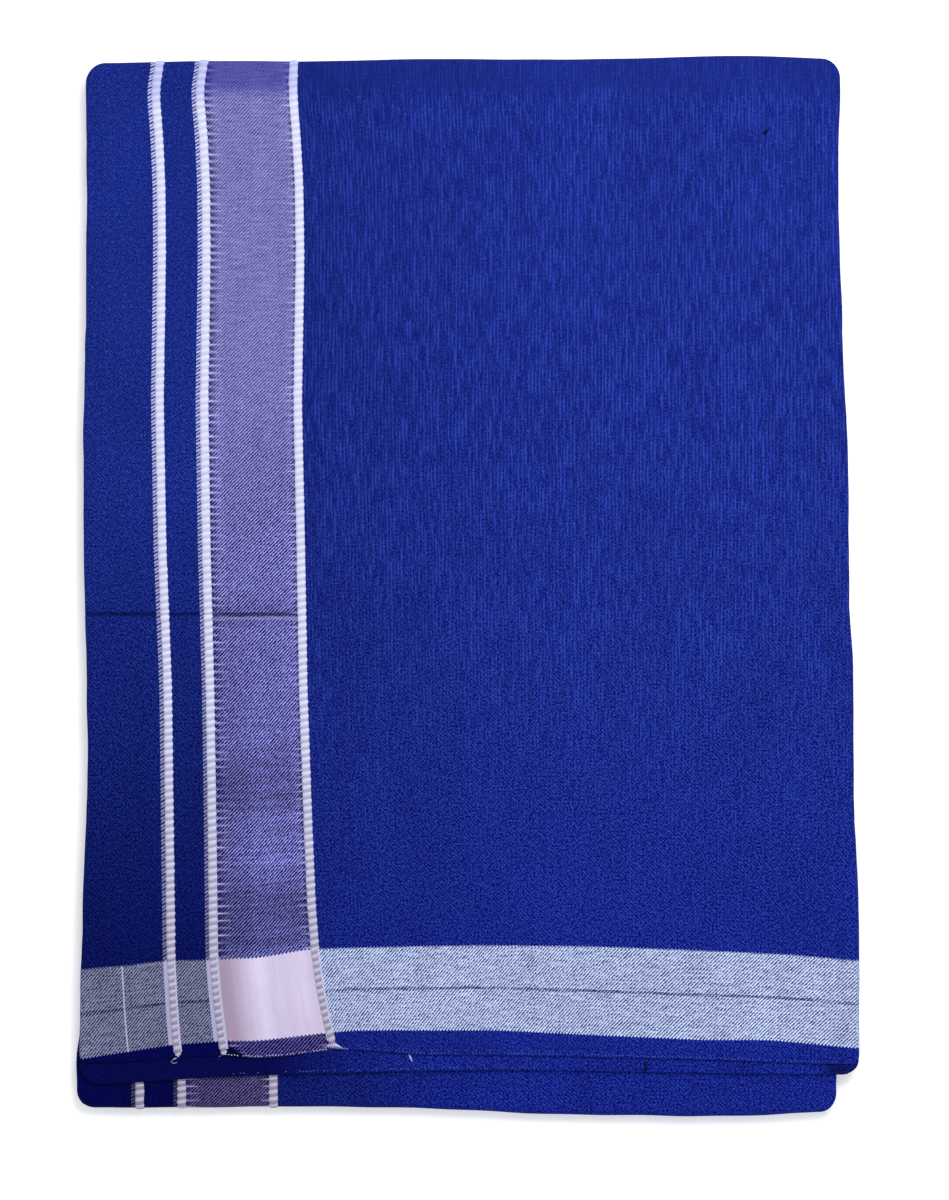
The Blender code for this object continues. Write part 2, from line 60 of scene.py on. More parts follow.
def add_node(material, kind, *values, **named):
    """Adds a shader node and gives back its first output, if it has one.

    A kind all in capitals is a Math node's operation. Values go to its sockets in order. A name with
    a capital is a socket, with _ for a space, and any other name is a setting. A socket takes a
    number, a hex colour or another node's output.
    """
    node = material.node_tree.nodes.new("ShaderNode" + ("Math" if kind.isupper() else kind))
    if kind.isupper():
        node.operation = kind
    for name, value in named.items():
        if name[0].islower():
            setattr(node, name, value)
    sockets = list(enumerate(values))
    sockets += [(name.replace("_", " "), value) for name, value in named.items() if name[0].isupper()]
    for key, value in sockets:
        if isinstance(value, bpy.types.NodeSocket):
            material.node_tree.links.new(value, node.inputs[key])
        else:
            node.inputs[key].default_value = from_hex(value) if isinstance(value, str) else value
    return next(iter(node.outputs), None)


def new_material(name):
    """A material with an empty node tree."""
    material = bpy.data.materials.new(name)
    material.use_nodes = True
    material.node_tree.nodes.clear()
    return material


# Opal acrylic, sanded matt and lit a little from below, so that hardly a shadow falls on it.
acrylic = new_material("opal_acrylic_light_table_matt")
sanding = add_node(acrylic, "TexNoise", Scale=900.0, Detail=2.0)
sanded = add_node(acrylic, "Bump", Strength=0.05, Distance=0.0002, Height=sanding)
acrylic_shader = add_node(acrylic, "BsdfPrincipled", Base_Color="#fcfcfc", Roughness=0.9, Normal=sanded,
                          Emission_Color="#ffffff", Emission_Strength=0.3)
add_node(acrylic, "OutputMaterial", acrylic_shader)

# The table reaches 3 m to each side, past all that the camera sees.
TABLE_HALF = 3
table_mesh = bpy.data.meshes.new("table")
corners = [(x * TABLE_HALF, y * TABLE_HALF, 0) for x, y in ((-1, -1), (1, -1), (1, 1), (-1, 1))]
table_mesh.from_pydata(corners, [], [(0, 1, 2, 3)])
table_mesh.materials.append(acrylic)
table = bpy.data.objects.new("table", table_mesh)
bpy.context.scene.collection.objects.link(table)


def add_lamp(name, place, size, watts):
    """A square area lamp that faces the middle of the packet."""
    lamp = bpy.data.objects.new(name, bpy.data.lights.new(name, "AREA"))
    lamp.data.shape = "SQUARE"
    lamp.data.size = size
    lamp.data.energy = watts
    lamp.location = place
    lamp.rotation_euler = Vector(place).to_track_quat("Z", "Y").to_euler()
    bpy.context.scene.collection.objects.link(lamp)


add_lamp("key_lamp", (0.16, 0.34, 0.8), 0.45, 6.2)
add_lamp("far_lamp", (0.9, -0.9, 1.5), 1.2, 2.0)

room = bpy.data.worlds.new("room")
room.use_nodes = True
room.node_tree.nodes["Background"].inputs["Color"].default_value = from_hex("#f4f6fb")
room.node_tree.nodes["Background"].inputs["Strength"].default_value = 0.62
bpy.context.scene.world = room
bpy.context.scene.view_settings.view_transform = "Standard"

# The view takes in 393.4 mm by 497.4 mm at the height of the packet's top, 14 mm up.
VIEW_HEIGHT = 497.4 * MM
VIEW_MIDDLE = (3.3 * MM, -5.8 * MM, 14 * MM)
CAMERA_UP = 1.6
camera = bpy.data.objects.new("camera", bpy.data.cameras.new("camera"))
camera.data.sensor_fit = "VERTICAL"
camera.data.sensor_height = 24.0
camera.data.lens = 24.0 * CAMERA_UP / VIEW_HEIGHT
camera.location = (VIEW_MIDDLE[0], VIEW_MIDDLE[1], VIEW_MIDDLE[2] + CAMERA_UP)
bpy.context.scene.collection.objects.link(camera)
bpy.context.scene.camera = camera

# ---- the hidden turns ----
# The cloth is folded in four across its width, then over and over along its length. The lower turns
# hold its inner end. They share one body, whose edges are the rounded folds of plain-woven cotton,
# pressed flat by hand.
LOOM_WIDTH = 1270.0
HALF_WIDTH = LOOM_WIDTH / 4 / 2
# A cord's ribs come in pairs, one pair to this length of it.
RIB_PITCH = 2.92
# Where the border's three cords lie across the cloth, measured from the middle of the top quarter.
CORDS_ACROSS = (-127.0, -108.5, -69.8)
# Further right than this, the way the cords lie doesn't pull at the weave.
PULL_ENDS_AT = 60
# How far out from its solids' sides and ends the cloth lies: the packet leans a little to the right.
SWELL = {"left": -0.35, "right": 0.6, "near": 0.0, "far": 0.0}
# A solid's outline and heights are read off it this far apart.
READ_STEP = 4.0
# Each lower turn of the packet counts as this much further along the woven cloth, to be told apart.
LAYER_STEP = 1000.0


def ease(share):
    """0 below 0, 1 above 1, and a soft step between, for arrays."""
    share = np.clip(share, 0.0, 1.0)
    return share * share * (3 - 2 * share)


def smooth_line(rows, column, blur=9):
    """A table's column as a line without kinks: its places and its values, each mm."""
    places = [row[0] for row in rows]
    fine = np.arange(places[0], places[-1] + 0.5)
    line = np.interp(fine, places, [row[column] for row in rows])
    padded = np.pad(line, blur, mode="reflect", reflect_type="odd")
    kernel = np.hanning(2 * blur + 3)[1:-1]
    return fine, np.convolve(padded, kernel / kernel.sum(), "valid")


def cloth_across(x, cords):
    """Where points lie across the woven cloth, from where its three cords run beside them."""
    first, second, third = cords
    at_first, at_second, at_third = CORDS_ACROSS
    left = at_first + (x - first)
    gap = at_first + (x - first) * (at_second - at_first) / (second - first)
    band = at_second + (x - second) * (at_third - at_second) / (third - second)
    pulled = at_third + (x - third) * (PULL_ENDS_AT - at_third) / (PULL_ENDS_AT - third)
    right = np.where(x < PULL_ENDS_AT, pulled, x)
    return np.where(x < first, left, np.where(x < second, gap, np.where(x < third, band, right)))


def ray_tree(mesh, faces):
    """A mesh as a tree that rays can be cast at."""
    return BVHTree.FromPolygons([v.co for v in mesh.vertices], [face.vertices[:] for face in faces])


def grid_lines(low, high, step, fine=()):
    """Lines from low to high, eight times closer together at each fine place than far from it."""
    lines = [low]
    while lines[-1] < high:
        nearest = min([abs(lines[-1] - place) for place in fine], default=99.0)
        lines.append(lines[-1] + step * min(1.0, 0.125 + max(0.0, nearest - 1.5) / 10))
    lines = np.array(lines)
    return low + (lines - low) * (high - low) / (lines[-1] - low)


class Stretch:
    """One stretch of the cloth as it lies: a grid over its top, then rings down its folded edges.

    Its outline and its heights are read off the CAD node that it stands for. Reach is how far the
    grid's edge lies inside the outline at the sides, the near end and the far end, corners are the
    radii of the near and far corners, and levels are the heights at which the outline is read. Step
    is the grid's spacing, and fine the places across and along where it is closer. Relief is added to
    the heights, threads gives a point's place in the woven cloth, and swell is how far a side or an
    end lies out from the node's, as (places), (mm there).
    """

    def __init__(self, node, ends, reach, corners, levels, step, relief, threads, fine=((), ()),
                 **swell):
        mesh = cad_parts[node].data
        mesh.calc_loop_triangles()
        self.tree = ray_tree(mesh, mesh.loop_triangles)
        self.near_y, self.far_y = ends
        self.reach, self.corners = reach, corners
        self.threads = threads
        along = np.arange(self.near_y + 12, self.far_y - 11, READ_STEP)
        across = np.arange(-146.0, 147.0, READ_STEP)
        self.left = (along, self.edge_at((-1, 0), along, levels[0]))
        self.right = (along, self.edge_at((1, 0), along, levels[0]))
        self.near = (across, self.edge_at((0, -1), across, levels[1]))
        self.far = (across, self.edge_at((0, 1), across, levels[2]))
        self.read_heights()
        for side, sign in (("left", -1), ("right", 1), ("near", -1), ("far", 1)):
            places, line = getattr(self, side)
            out = np.interp(places, *swell[side]) if side in swell else SWELL[side]
            setattr(self, side, (places, line + sign * out))

        wide = max(corners)
        start = np.linspace(-HALF_WIDTH + reach[0], -HALF_WIDTH + wide, 5)
        middle = grid_lines(-HALF_WIDTH + wide, HALF_WIDTH - wide, step, fine[0])
        self.across = np.concatenate([start, middle[1:-1], -start[::-1]])
        start = np.linspace(self.near_y + reach[1], self.near_y + corners[0], 4)
        end = np.linspace(self.far_y - corners[1], self.far_y - reach[2], 5)
        self.along = np.concatenate([start, grid_lines(start[-1], end[0], step, fine[1])[1:-1], end])
        s, t = np.meshgrid(self.across, self.along, indexing="ij")
        x, y = self.pull(*self.round_corners(s, t))
        z = self.height(x, y) + relief(x, y)
        self.grid = np.stack([x, y, z], axis=-1)
        self.last_i, self.last_j = len(self.across) - 1, len(self.along) - 1
        self.walk_edge()
        self.rings = []

    def edge_at(self, toward, stations, level):
        """How far the node reaches toward one side, at each station along it."""
        found = []
        for station in stations:
            start = (toward[0] * 400 or station, toward[1] * 400 or station, level)
            way = Vector((-toward[0], -toward[1], 0))
            hit = self.tree.ray_cast(Vector(start) * MM, way)[0]
            found.append(hit[0 if toward[0] else 1] / MM)
        line = np.pad(found, 3, mode="edge")
        return np.convolve(line, np.ones(7) / 7, "valid") * 0.6 + np.array(found) * 0.4

    def read_heights(self):
        """The top's height at each reading place, smoothed where the solid has flat faces."""
        self.map_x = np.arange(-168.0, 169.0, READ_STEP)
        self.map_y = np.arange(-224.0, 225.0, READ_STEP)
        heights = np.zeros((len(self.map_x), len(self.map_y)))
        for b, y in enumerate(self.map_y):
            for a, x in enumerate(self.map_x):
                at_y = min(max(y, np.interp(x, *self.near) + 3.2), np.interp(x, *self.far) - 3.6)
                at_x = min(max(x, np.interp(at_y, *self.left) + 4), np.interp(at_y, *self.right) - 4)
                hit = self.tree.ray_cast(Vector((at_x, at_y, 60)) * MM, Vector((0, 0, -1)))[0]
                heights[a, b] = hit[2] / MM
        for axis in (0, 1, 0, 1):
            rows = np.moveaxis(heights, axis, 0)
            rows = np.concatenate([rows[:1], rows, rows[-1:]])
            heights = np.moveaxis((rows[:-2] + rows[1:-1] + rows[2:]) / 3, 0, axis)
        self.heights = heights

    def height(self, x, y):
        """The height of the node's top at points, between the places where it was read."""
        a = np.clip((x - self.map_x[0]) / READ_STEP, 0, len(self.map_x) - 1.001)
        b = np.clip((y - self.map_y[0]) / READ_STEP, 0, len(self.map_y) - 1.001)
        low_a, low_b = a.astype(int), b.astype(int)
        a, b, h = a - low_a, b - low_b, self.heights
        low = h[low_a, low_b] * (1 - a) + h[low_a + 1, low_b] * a
        high = h[low_a, low_b + 1] * (1 - a) + h[low_a + 1, low_b + 1] * a
        return low * (1 - b) + high * b

    def round_corners(self, s, t):
        """Turns the square corner of a plain rectangle into a quarter of a disc."""
        for sign, end, corner, reach in (
            (-1, self.near_y, self.corners[0], self.reach[1]),
            (1, self.far_y, self.corners[1], self.reach[2]),
        ):
            p = (np.abs(s) - HALF_WIDTH + corner) / (corner - self.reach[0])
            q = (sign * (t - end) + corner) / (corner - reach)
            inside = (p > 0) & (q > 0)
            p, q = np.where(inside, p, 1.0), np.where(inside, q, 1.0)
            turn = np.where(p >= q, math.pi / 4 * q / p, math.pi / 2 - math.pi / 4 * p / q)
            inset = self.reach[0] + np.sin(turn) ** 2 * (reach - self.reach[0])
            radius = np.maximum(p, q) * (corner - inset)
            side = np.sign(s) * (HALF_WIDTH - corner + radius * np.cos(turn))
            up = end + sign * (radius * np.sin(turn) - corner)
            s, t = np.where(inside, side, s), np.where(inside, up, t)
        return s, t

    def pull(self, s, t):
        """Pulls points of the plain rectangle to where the cloth lies."""
        left = np.interp(t, *self.left) + HALF_WIDTH
        right = np.interp(t, *self.right) - HALF_WIDTH
        x = s + left + (right - left) * (s + HALF_WIDTH) / (2 * HALF_WIDTH)
        near = np.maximum(0.0, 1 - (t - self.near_y) / 70) ** 2
        far = np.maximum(0.0, 1 - (self.far_y - t) / 70) ** 2
        y = t + near * (np.interp(x, *self.near) - self.near_y)
        return x, y + far * (np.interp(x, *self.far) - self.far_y)

    def walk_edge(self):
        """The grid's edge in order, with the plain outline beside it and the way out."""
        i, j = self.last_i, self.last_j
        order = [(0, b) for b in range(j + 1)] + [(a, j) for a in range(1, i)]
        order += [(i, b) for b in range(j, -1, -1)] + [(a, 0) for a in range(i - 1, 0, -1)]
        anchors, ways = [], []
        for a, b in order:
            s, t = self.across[a], self.along[b]
            at_far = int(t > (self.near_y + self.far_y) / 2)
            sign, end = (1, self.far_y) if at_far else (-1, self.near_y)
            corner, reach = (self.corners[at_far], self.reach[1 + at_far])
            p = (abs(s) - HALF_WIDTH + corner) / (corner - self.reach[0])
            q = (sign * (t - end) + corner) / (corner - reach)
            if p > 0 and q > 0:
                turn = math.pi / 4 * q / p if p >= q else math.pi / 2 - math.pi / 4 * p / q
                way = (math.copysign(math.cos(turn), s), sign * math.sin(turn))
                centre = (math.copysign(HALF_WIDTH - corner, s), end - sign * corner)
                anchors.append((centre[0] + way[0] * corner, centre[1] + way[1] * corner))
            elif a in (0, i):
                way = (math.copysign(1, s), 0.0)
                anchors.append((math.copysign(HALF_WIDTH, s), t))
            else:
                way = (0.0, sign)
                anchors.append((s, end))
            ways.append(way)
        self.order = np.array(order)
        self.anchors, self.ways = np.array(anchors), np.array(ways)
        self.share = self.ways[:, 1] ** 2
        self.at_far = self.ways[:, 1] > 0
        self.edge = self.grid[self.order[:, 0], self.order[:, 1]]
        steps = np.linalg.norm(np.diff(self.edge[:, :2], axis=0), axis=1)
        self.walked = np.concatenate([[0.0], np.cumsum(steps)])

    def waver(self, seed, size, wave):
        """A gentle unevenness along the edge, in mm: a few waves of about one length."""
        chance = random.Random(seed)
        total = np.zeros(len(self.walked))
        for _ in range(5):
            length = wave * chance.uniform(0.5, 1.8)
            total += np.sin(self.walked / length * 2 * math.pi + chance.uniform(0, 6.28))
        return total * size / 2.5

    def add_ring(self, side, near, far, bottom=None, waver=0.0):
        """A ring below the grid's edge, from (inset, drop) at the sides and at each end.

        With a bottom, the drop is the share of the way down to that height.
        """
        end = np.where(self.at_far[:, None], np.array(far), np.array(near))
        inset, drop = (np.array(side) + self.share[:, None] * (end - np.array(side))).T
        base = self.anchors - self.ways * (inset + waver)[:, None]
        x, y = self.pull(base[:, 0], base[:, 1])
        top = self.edge[:, 2]
        z = top - drop * (1.0 if bottom is None else top - bottom)
        self.rings.append(np.stack([x, y, z], axis=-1))

    def rows_across(self, end):
        """Rows of points from the sides' middle up to one end, and then down round its fold."""
        j = self.last_j if end == "far" else 0
        inner = [k for k, (a, b) in enumerate(self.order) if b == j and 2 < a < self.last_i - 2]
        if end == "near":
            inner = inner[::-1]
        order = range(self.last_j + 1) if end == "far" else range(self.last_j, -1, -1)
        return [self.grid[3:-3, b] for b in order] + [ring[inner] for ring in self.rings]

    def make(self, name, material, wall=None, bottom=None):
        """The piece itself: an open shell with a wall, or a closed body down to its flat bottom."""
        i, j = self.last_i, self.last_j
        number = np.arange((i + 1) * (j + 1)).reshape(i + 1, j + 1)
        points = [self.grid.reshape(-1, 3)]
        faces = [np.stack([number[:-1, :-1], number[1:, :-1], number[1:, 1:], number[:-1, 1:]], -1)]
        u, v = self.threads(self.grid[..., 0], self.grid[..., 1])
        cloth = [np.stack([u, v], -1).reshape(-1, 2)]
        before = number[self.order[:, 0], self.order[:, 1]]
        at, last, count = cloth[0][before], self.edge, number.size
        for ring in self.rings:
            at = at + self.ways * np.linalg.norm(ring - last, axis=1)[:, None]
            here = count + np.arange(len(ring))
            faces.append(np.stack([before, np.roll(before, -1), np.roll(here, -1), here], -1))
            points.append(ring)
            cloth.append(at)
            before, last, count = here, ring, count + len(ring)
        if bottom is not None:
            below = np.zeros((i + 1, j + 1), int)
            below[self.order[:, 0], self.order[:, 1]] = before
            below[1:-1, 1:-1] = count + np.arange((i - 1) * (j - 1)).reshape(i - 1, j - 1)
            under = self.grid[1:-1, 1:-1].reshape(-1, 3).copy()
            under[:, 2] = bottom(under[:, 0], under[:, 1])
            points.append(under)
            u, v = self.threads(under[:, 0], under[:, 1])
            cloth.append(np.stack([u, v], -1))
            quads = [below[:-1, 1:], below[1:, 1:], below[1:, :-1], below[:-1, :-1]]
            faces.append(np.stack(quads, -1))
        points, cloth = np.concatenate(points), np.concatenate(cloth)
        faces = np.concatenate([part.reshape(-1, 4) for part in faces])
        return make_piece(name, points, faces, material, cloth, wall)


def make_piece(name, points, faces, material, cloth=None, wall=None):
    """An object from points in mm. Cloth is each point's place in the woven cloth, in mm."""
    mesh = bpy.data.meshes.new(name)
    mesh.from_pydata((np.asarray(points) * MM).tolist(), [], np.asarray(faces).tolist())
    mesh.polygons.foreach_set("use_smooth", [True] * len(mesh.polygons))
    if cloth is not None:
        layer = mesh.uv_layers.new(name="cloth")
        corners = np.empty(len(mesh.loops), np.int32)
        mesh.loops.foreach_get("vertex_index", corners)
        layer.data.foreach_set("uv", (np.asarray(cloth) * MM)[corners].ravel())
    mesh.materials.append(material)
    piece = bpy.data.objects.new(name, mesh)
    bpy.context.scene.collection.objects.link(piece)
    if wall:
        solidify = piece.modifiers.new("cloth thickness", "SOLIDIFY")
        solidify.thickness = wall * MM
        solidify.offset = -1.0
    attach(piece, "root")
    return piece


def crease(x, y, path, depth, half_width):
    """A soft trough along a path, or a ridge where the depth is below 0, that fades at both ends."""
    nearest, walked = np.full(np.shape(x), 1e9), np.zeros(np.shape(x))
    done = 0.0
    for (from_x, from_y), (to_x, to_y) in zip(path, path[1:]):
        length = math.dist((from_x, from_y), (to_x, to_y))
        share = ((x - from_x) * (to_x - from_x) + (y - from_y) * (to_y - from_y)) / length**2
        share = np.clip(share, 0, 1)
        away = np.hypot(x - from_x - share * (to_x - from_x), y - from_y - share * (to_y - from_y))
        walked = np.where(away < nearest, done + share * length, walked)
        nearest = np.minimum(nearest, away)
        done += length
    fade = ease(walked / done / 0.15) * ease((1 - walked / done) / 0.15)
    return -depth * fade * ease(1 - nearest / half_width)


def creased(x, y, creases):
    """Several creases, each a row of depth, half width and path."""
    return sum(crease(x, y, path, depth, half_width) for depth, half_width, path in creases)


def pattern_lines(material, place, pitch):
    """0 to 1 and back, once a pitch, along one measure of the cloth."""
    turns = add_node(material, "MULTIPLY", place, 2 * math.pi / pitch)
    wave = add_node(material, "SINE", turns)
    return add_node(material, "MULTIPLY_ADD", wave, 0.5, 0.5)


# Handloom cotton, dyed royal blue in the yarn and woven plain, with a twill border. It looks matt
# and a little dusty, with uneven threads. A cotton thread here is about 0.35 mm, too fine to show,
# so each line of the weave is drawn about four threads wide.
cotton = new_material("handloom_cotton_plain_and_twill")
TWILL_PITCH = 1.45
CROSS_BAND = (-184.2, -149.0)


def woven_place(material):
    """Where a point lies in the woven cloth, in mm, and how far that is across and along it."""
    in_metres = add_node(material, "UVMap", uv_map="cloth")
    place = add_node(material, "VectorMath", in_metres, (1 / MM, 1 / MM, 0), operation="MULTIPLY")
    across = add_node(material, "SeparateXYZ", place)
    return place, across, across.node.outputs["Y"]


place, across, along = woven_place(cotton)


def slubs(across_scale, along_scale, low, high, detail=2.0):
    """0 to 1 where the yarn runs thin or thick, from a noise of so many spots a mm."""
    stretched = add_node(cotton, "VectorMath", place, (across_scale, along_scale, 1), operation="MULTIPLY")
    noise = add_node(cotton, "TexNoise", stretched, Scale=1.0, Detail=detail)
    return add_node(cotton, "MapRange", noise, low, high)


def away_from(measure, middle):
    """How far one measure of the cloth is from a place, in mm."""
    past = add_node(cotton, "ADD", measure, -middle)
    return add_node(cotton, "ABSOLUTE", past)


# Uneven yarn: each warp thread has its own slubs, the weft has some too, and fuzz lies over all.
# Below, what is across or along is a place in the woven cloth in mm, with 0 at the panel's middle.
warp_slub = slubs(1.2, 0.1, 0.36, 0.62, 1.0)
weft_slub = slubs(0.1, 1.3, 0.34, 0.66)
fuzz = slubs(1.25, 1.25, 0.34, 0.66, 1.0)
specks = slubs(0.8, 0.6, 0.66, 0.78, 0.0)
mottle = slubs(0.03, 0.02, 0.3, 0.7, 3.0)

# The weaves: twill that rises to the right, twill that falls to the right, and upright warp threads.
drift = add_node(cotton, "MULTIPLY", fuzz, 0.35)
rising, falling = [
    pattern_lines(cotton, add_node(cotton, "ADD", add_node(cotton, slope, across, along), drift), pitch)
    for slope, pitch in (("SUBTRACT", TWILL_PITCH), ("ADD", TWILL_PITCH * 1.15))
]
warp_place = add_node(cotton, "MULTIPLY_ADD", warp_slub, 0.7, across)
warp_lines = pattern_lines(cotton, warp_place, TWILL_PITCH)

# The ground: plain weave, whose lines lean now one way and now the other, streaked by the warp's
# slubs and more grainy towards the hem.
leaning = add_node(cotton, "MixRGB", slubs(0.2, 0.16, 0.49, 0.6, 1.0), falling, rising)
grain, streaks = [
    add_node(cotton, "MULTIPLY_ADD", add_node(cotton, "MULTIPLY", uneven, lines), 0.75,
             add_node(cotton, "MULTIPLY", fuzz, 0.3))
    for uneven, lines in ((fuzz, leaning), (warp_slub, warp_lines))
]
# The turns that are folded under the panels are told apart by how far along they count.
folded_under = add_node(cotton, "GREATER_THAN", along, LAYER_STEP / 2)
streaky = add_node(cotton, "MULTIPLY_ADD", mottle, 60.0, along)
streaky = add_node(cotton, "MapRange", streaky, -80.0, 120.0, 0.15, 0.85)
streaky = add_node(cotton, "MULTIPLY_ADD", folded_under, -0.7, streaky)
threads = add_node(cotton, "MixRGB", streaky, grain, streaks)
threads = add_node(cotton, "MapRange", threads, 0.1, 0.83)
# Towards the far fold the cloth was ironed smooth, so its threads show less.
smooth = add_node(cotton, "MapRange", along, -60.0, 140.0, 0.0, 0.42)
smooth = add_node(cotton, "MULTIPLY_ADD", folded_under, -0.42, smooth)
in_roll = add_node(cotton, "MapRange", along, 202.0, 208.0)
in_roll = add_node(cotton, "SUBTRACT", in_roll, folded_under)
smoother = add_node(cotton, "MULTIPLY_ADD", in_roll, 0.3, smooth)
threads = add_node(cotton, "MixRGB", smoother, threads, (0.33, 0.33, 0.33, 1.0))
threads = add_node(cotton, "MULTIPLY_ADD", specks, 0.25, threads)
ground = add_node(cotton, "MixRGB", threads, "#010556", "#2c43aa")
# Painted shade: the blue is darker towards the third cord, where the light falls off to the left.
painted_shade_by_third_cord = add_node(cotton, "MapRange", across, -68.0, 30.0, 0.82, 1.0)
ground = add_node(cotton, "MixRGB", 1.0, ground, painted_shade_by_third_cord, blend_type="MULTIPLY")
# Low down, and on the turn below, it is a purer blue.
purer = add_node(cotton, "MapRange", along, -190.0, -40.0, 1.0, 0.0)
purer = add_node(cotton, "ADD", purer, folded_under, use_clamp=True)
pure_blue = add_node(cotton, "MixRGB", 1.0, ground, (0.8, 0.82, 1.06, 1.0), blend_type="MULTIPLY")
ground = add_node(cotton, "MixRGB", purer, ground, pure_blue)
# It is darker by the border on the turn below, on the second panel by its other edge, in the roll at the far
# end, and at the second panel's hemmed corner: each is painted shade.
in_turn_shade = add_node(cotton, "MapRange", across, -70.0, 15.0, 0.42, 0.0)
in_turn_shade = add_node(cotton, "MULTIPLY", in_turn_shade, folded_under)
shade_by_other_edge = add_node(cotton, "MapRange", across, 345.0, 400.0, 0.0, 0.93)
roll_shade = add_node(cotton, "MULTIPLY", in_roll, 0.18)
shaded_end = add_node(cotton, "MapRange", along, -191.2, -192.4)
shaded_corner = add_node(cotton, "MapRange", away_from(across, 163.0), 2.0, 9.0, 0.7, 0.0)
shaded_corner = add_node(cotton, "MULTIPLY", shaded_corner, shaded_end)
for shade, dark_blue in ((in_turn_shade, "#01042a"), (shade_by_other_edge, "#01023d"), (roll_shade, "#0a124c"),
                         (shaded_corner, "#04062c")):
    ground = add_node(cotton, "MixRGB", shade, ground, dark_blue)
# By the border it is a denser, darker twill. Painted shade darkens it towards the hem, and more on the hem
# and on the turns below, less on the hidden turns.
margin = add_node(cotton, "MixRGB", smooth, grain, (0.34, 0.34, 0.34, 1.0))
margin = add_node(cotton, "MULTIPLY_ADD", specks, 0.3, margin)
margin = add_node(cotton, "MixRGB", margin, "#000148", "#2841a6")
margin_shade = add_node(cotton, "MapRange", along, -150.0, 40.0)
margin_shade = add_node(cotton, "MixRGB", margin_shade, "#7a85b4", "#ffffff")
in_hem = add_node(cotton, "LESS_THAN", along, CROSS_BAND[0])
in_hidden_turns = add_node(cotton, "GREATER_THAN", along, LAYER_STEP * 1.5)
for layer, tint in ((in_hem, "#3c3ca4"), (folded_under, "#3c3c98"), (in_hidden_turns, "#b4b4d6")):
    margin_shade = add_node(cotton, "MixRGB", layer, margin_shade, tint)
margin = add_node(cotton, "MixRGB", 1.0, margin, margin_shade, blend_type="MULTIPLY")
lavender_middle = (CORDS_ACROSS[1] + CORDS_ACROSS[2]) / 2
by_border = add_node(cotton, "LESS_THAN", across, lavender_middle)
colour = add_node(cotton, "MixRGB", by_border, ground, margin)

# The lavender band between the second and third cord: white weft on purple warp, in twill, plainer
# where it is worn and darker towards the hem.
lavender_half = (CORDS_ACROSS[2] - CORDS_ACROSS[1]) / 2 - 1.2
in_lavender = add_node(cotton, "COMPARE", across, lavender_middle, lavender_half)
weft_shine = add_node(cotton, "MULTIPLY_ADD", rising, 0.75, add_node(cotton, "MULTIPLY", fuzz, 0.25))
worn = add_node(cotton, "MULTIPLY_ADD", weft_slub, 0.35, 0.36)
worn_flat = add_node(cotton, "MapRange", along, 10.0, 120.0, 0.0, 0.5)
worn_flat = add_node(cotton, "SUBTRACT", worn_flat, folded_under, use_clamp=True)
weft_shine = add_node(cotton, "MapRange", weft_shine, 0.34, 0.81)
weft_shine = add_node(cotton, "MixRGB", worn_flat, weft_shine, worn)
lavender = add_node(cotton, "MixRGB", weft_shine, "#010044", "#cccbf7")
purple = add_node(cotton, "MapRange", along, -60.0, 100.0)
purple = add_node(cotton, "MixRGB", purple, "#b8b8ee", "#bcbae0")
# Soft bands across it are darker, painted shade where the cloth dips in gentle folds: place, half width and
# depth.
for dark_at, spread, share in ((-11.5, 7.0, 0.2), (-80.0, 15.0, 0.28), (-133.0, 22.0, 0.41)):
    painted_fold_shade = add_node(cotton, "MapRange", away_from(along, dark_at), spread * 0.4, spread, share, 0.0)
    purple = add_node(cotton, "MixRGB", painted_fold_shade, purple, "#08083c")
lavender = add_node(cotton, "MixRGB", 1.0, lavender, purple, blend_type="MULTIPLY")
# Low down, each weft thread took the dye a little differently.
weft_dye = add_node(cotton, "MapRange", slubs(0.02, 0.6, 0.34, 0.66), 0.0, 1.0, 0.74, 1.27)
evener = add_node(cotton, "MapRange", along, -110.0, 20.0)
weft_dye = add_node(cotton, "MixRGB", evener, weft_dye, (1.0, 1.0, 1.0, 1.0))
lavender = add_node(cotton, "MixRGB", 1.0, lavender, weft_dye, blend_type="MULTIPLY")
# Below the old fold its side by the second cord is darker: painted shade, where the light falls off towards
# the lower left.
painted_shade_by_second_cord = add_node(cotton, "MapRange", across, CORDS_ACROSS[1] + 7.0, CORDS_ACROSS[1] + 18.0, 0.23, 0.0)
below_fold = add_node(cotton, "MapRange", along, -35.0, 0.0, 1.0, 0.0)
painted_shade_by_second_cord = add_node(cotton, "MULTIPLY", painted_shade_by_second_cord, below_fold)
lavender = add_node(cotton, "MixRGB", painted_shade_by_second_cord, lavender, "#08080e")
hem_lines = add_node(cotton, "MapRange", rising, 0.45, 0.95)
in_the_hem = add_node(cotton, "MixRGB", hem_lines, "#06032c", "#6258a8")
lavender = add_node(cotton, "MixRGB", in_hem, lavender, in_the_hem)
# On the turn below the lavender is painted darker and greyer, as painted shade.
shaded_turn_lavender = add_node(cotton, "MixRGB", weft_shine, "#03000c", "#655c9b")
lavender = add_node(cotton, "MixRGB", folded_under, lavender, shaded_turn_lavender)
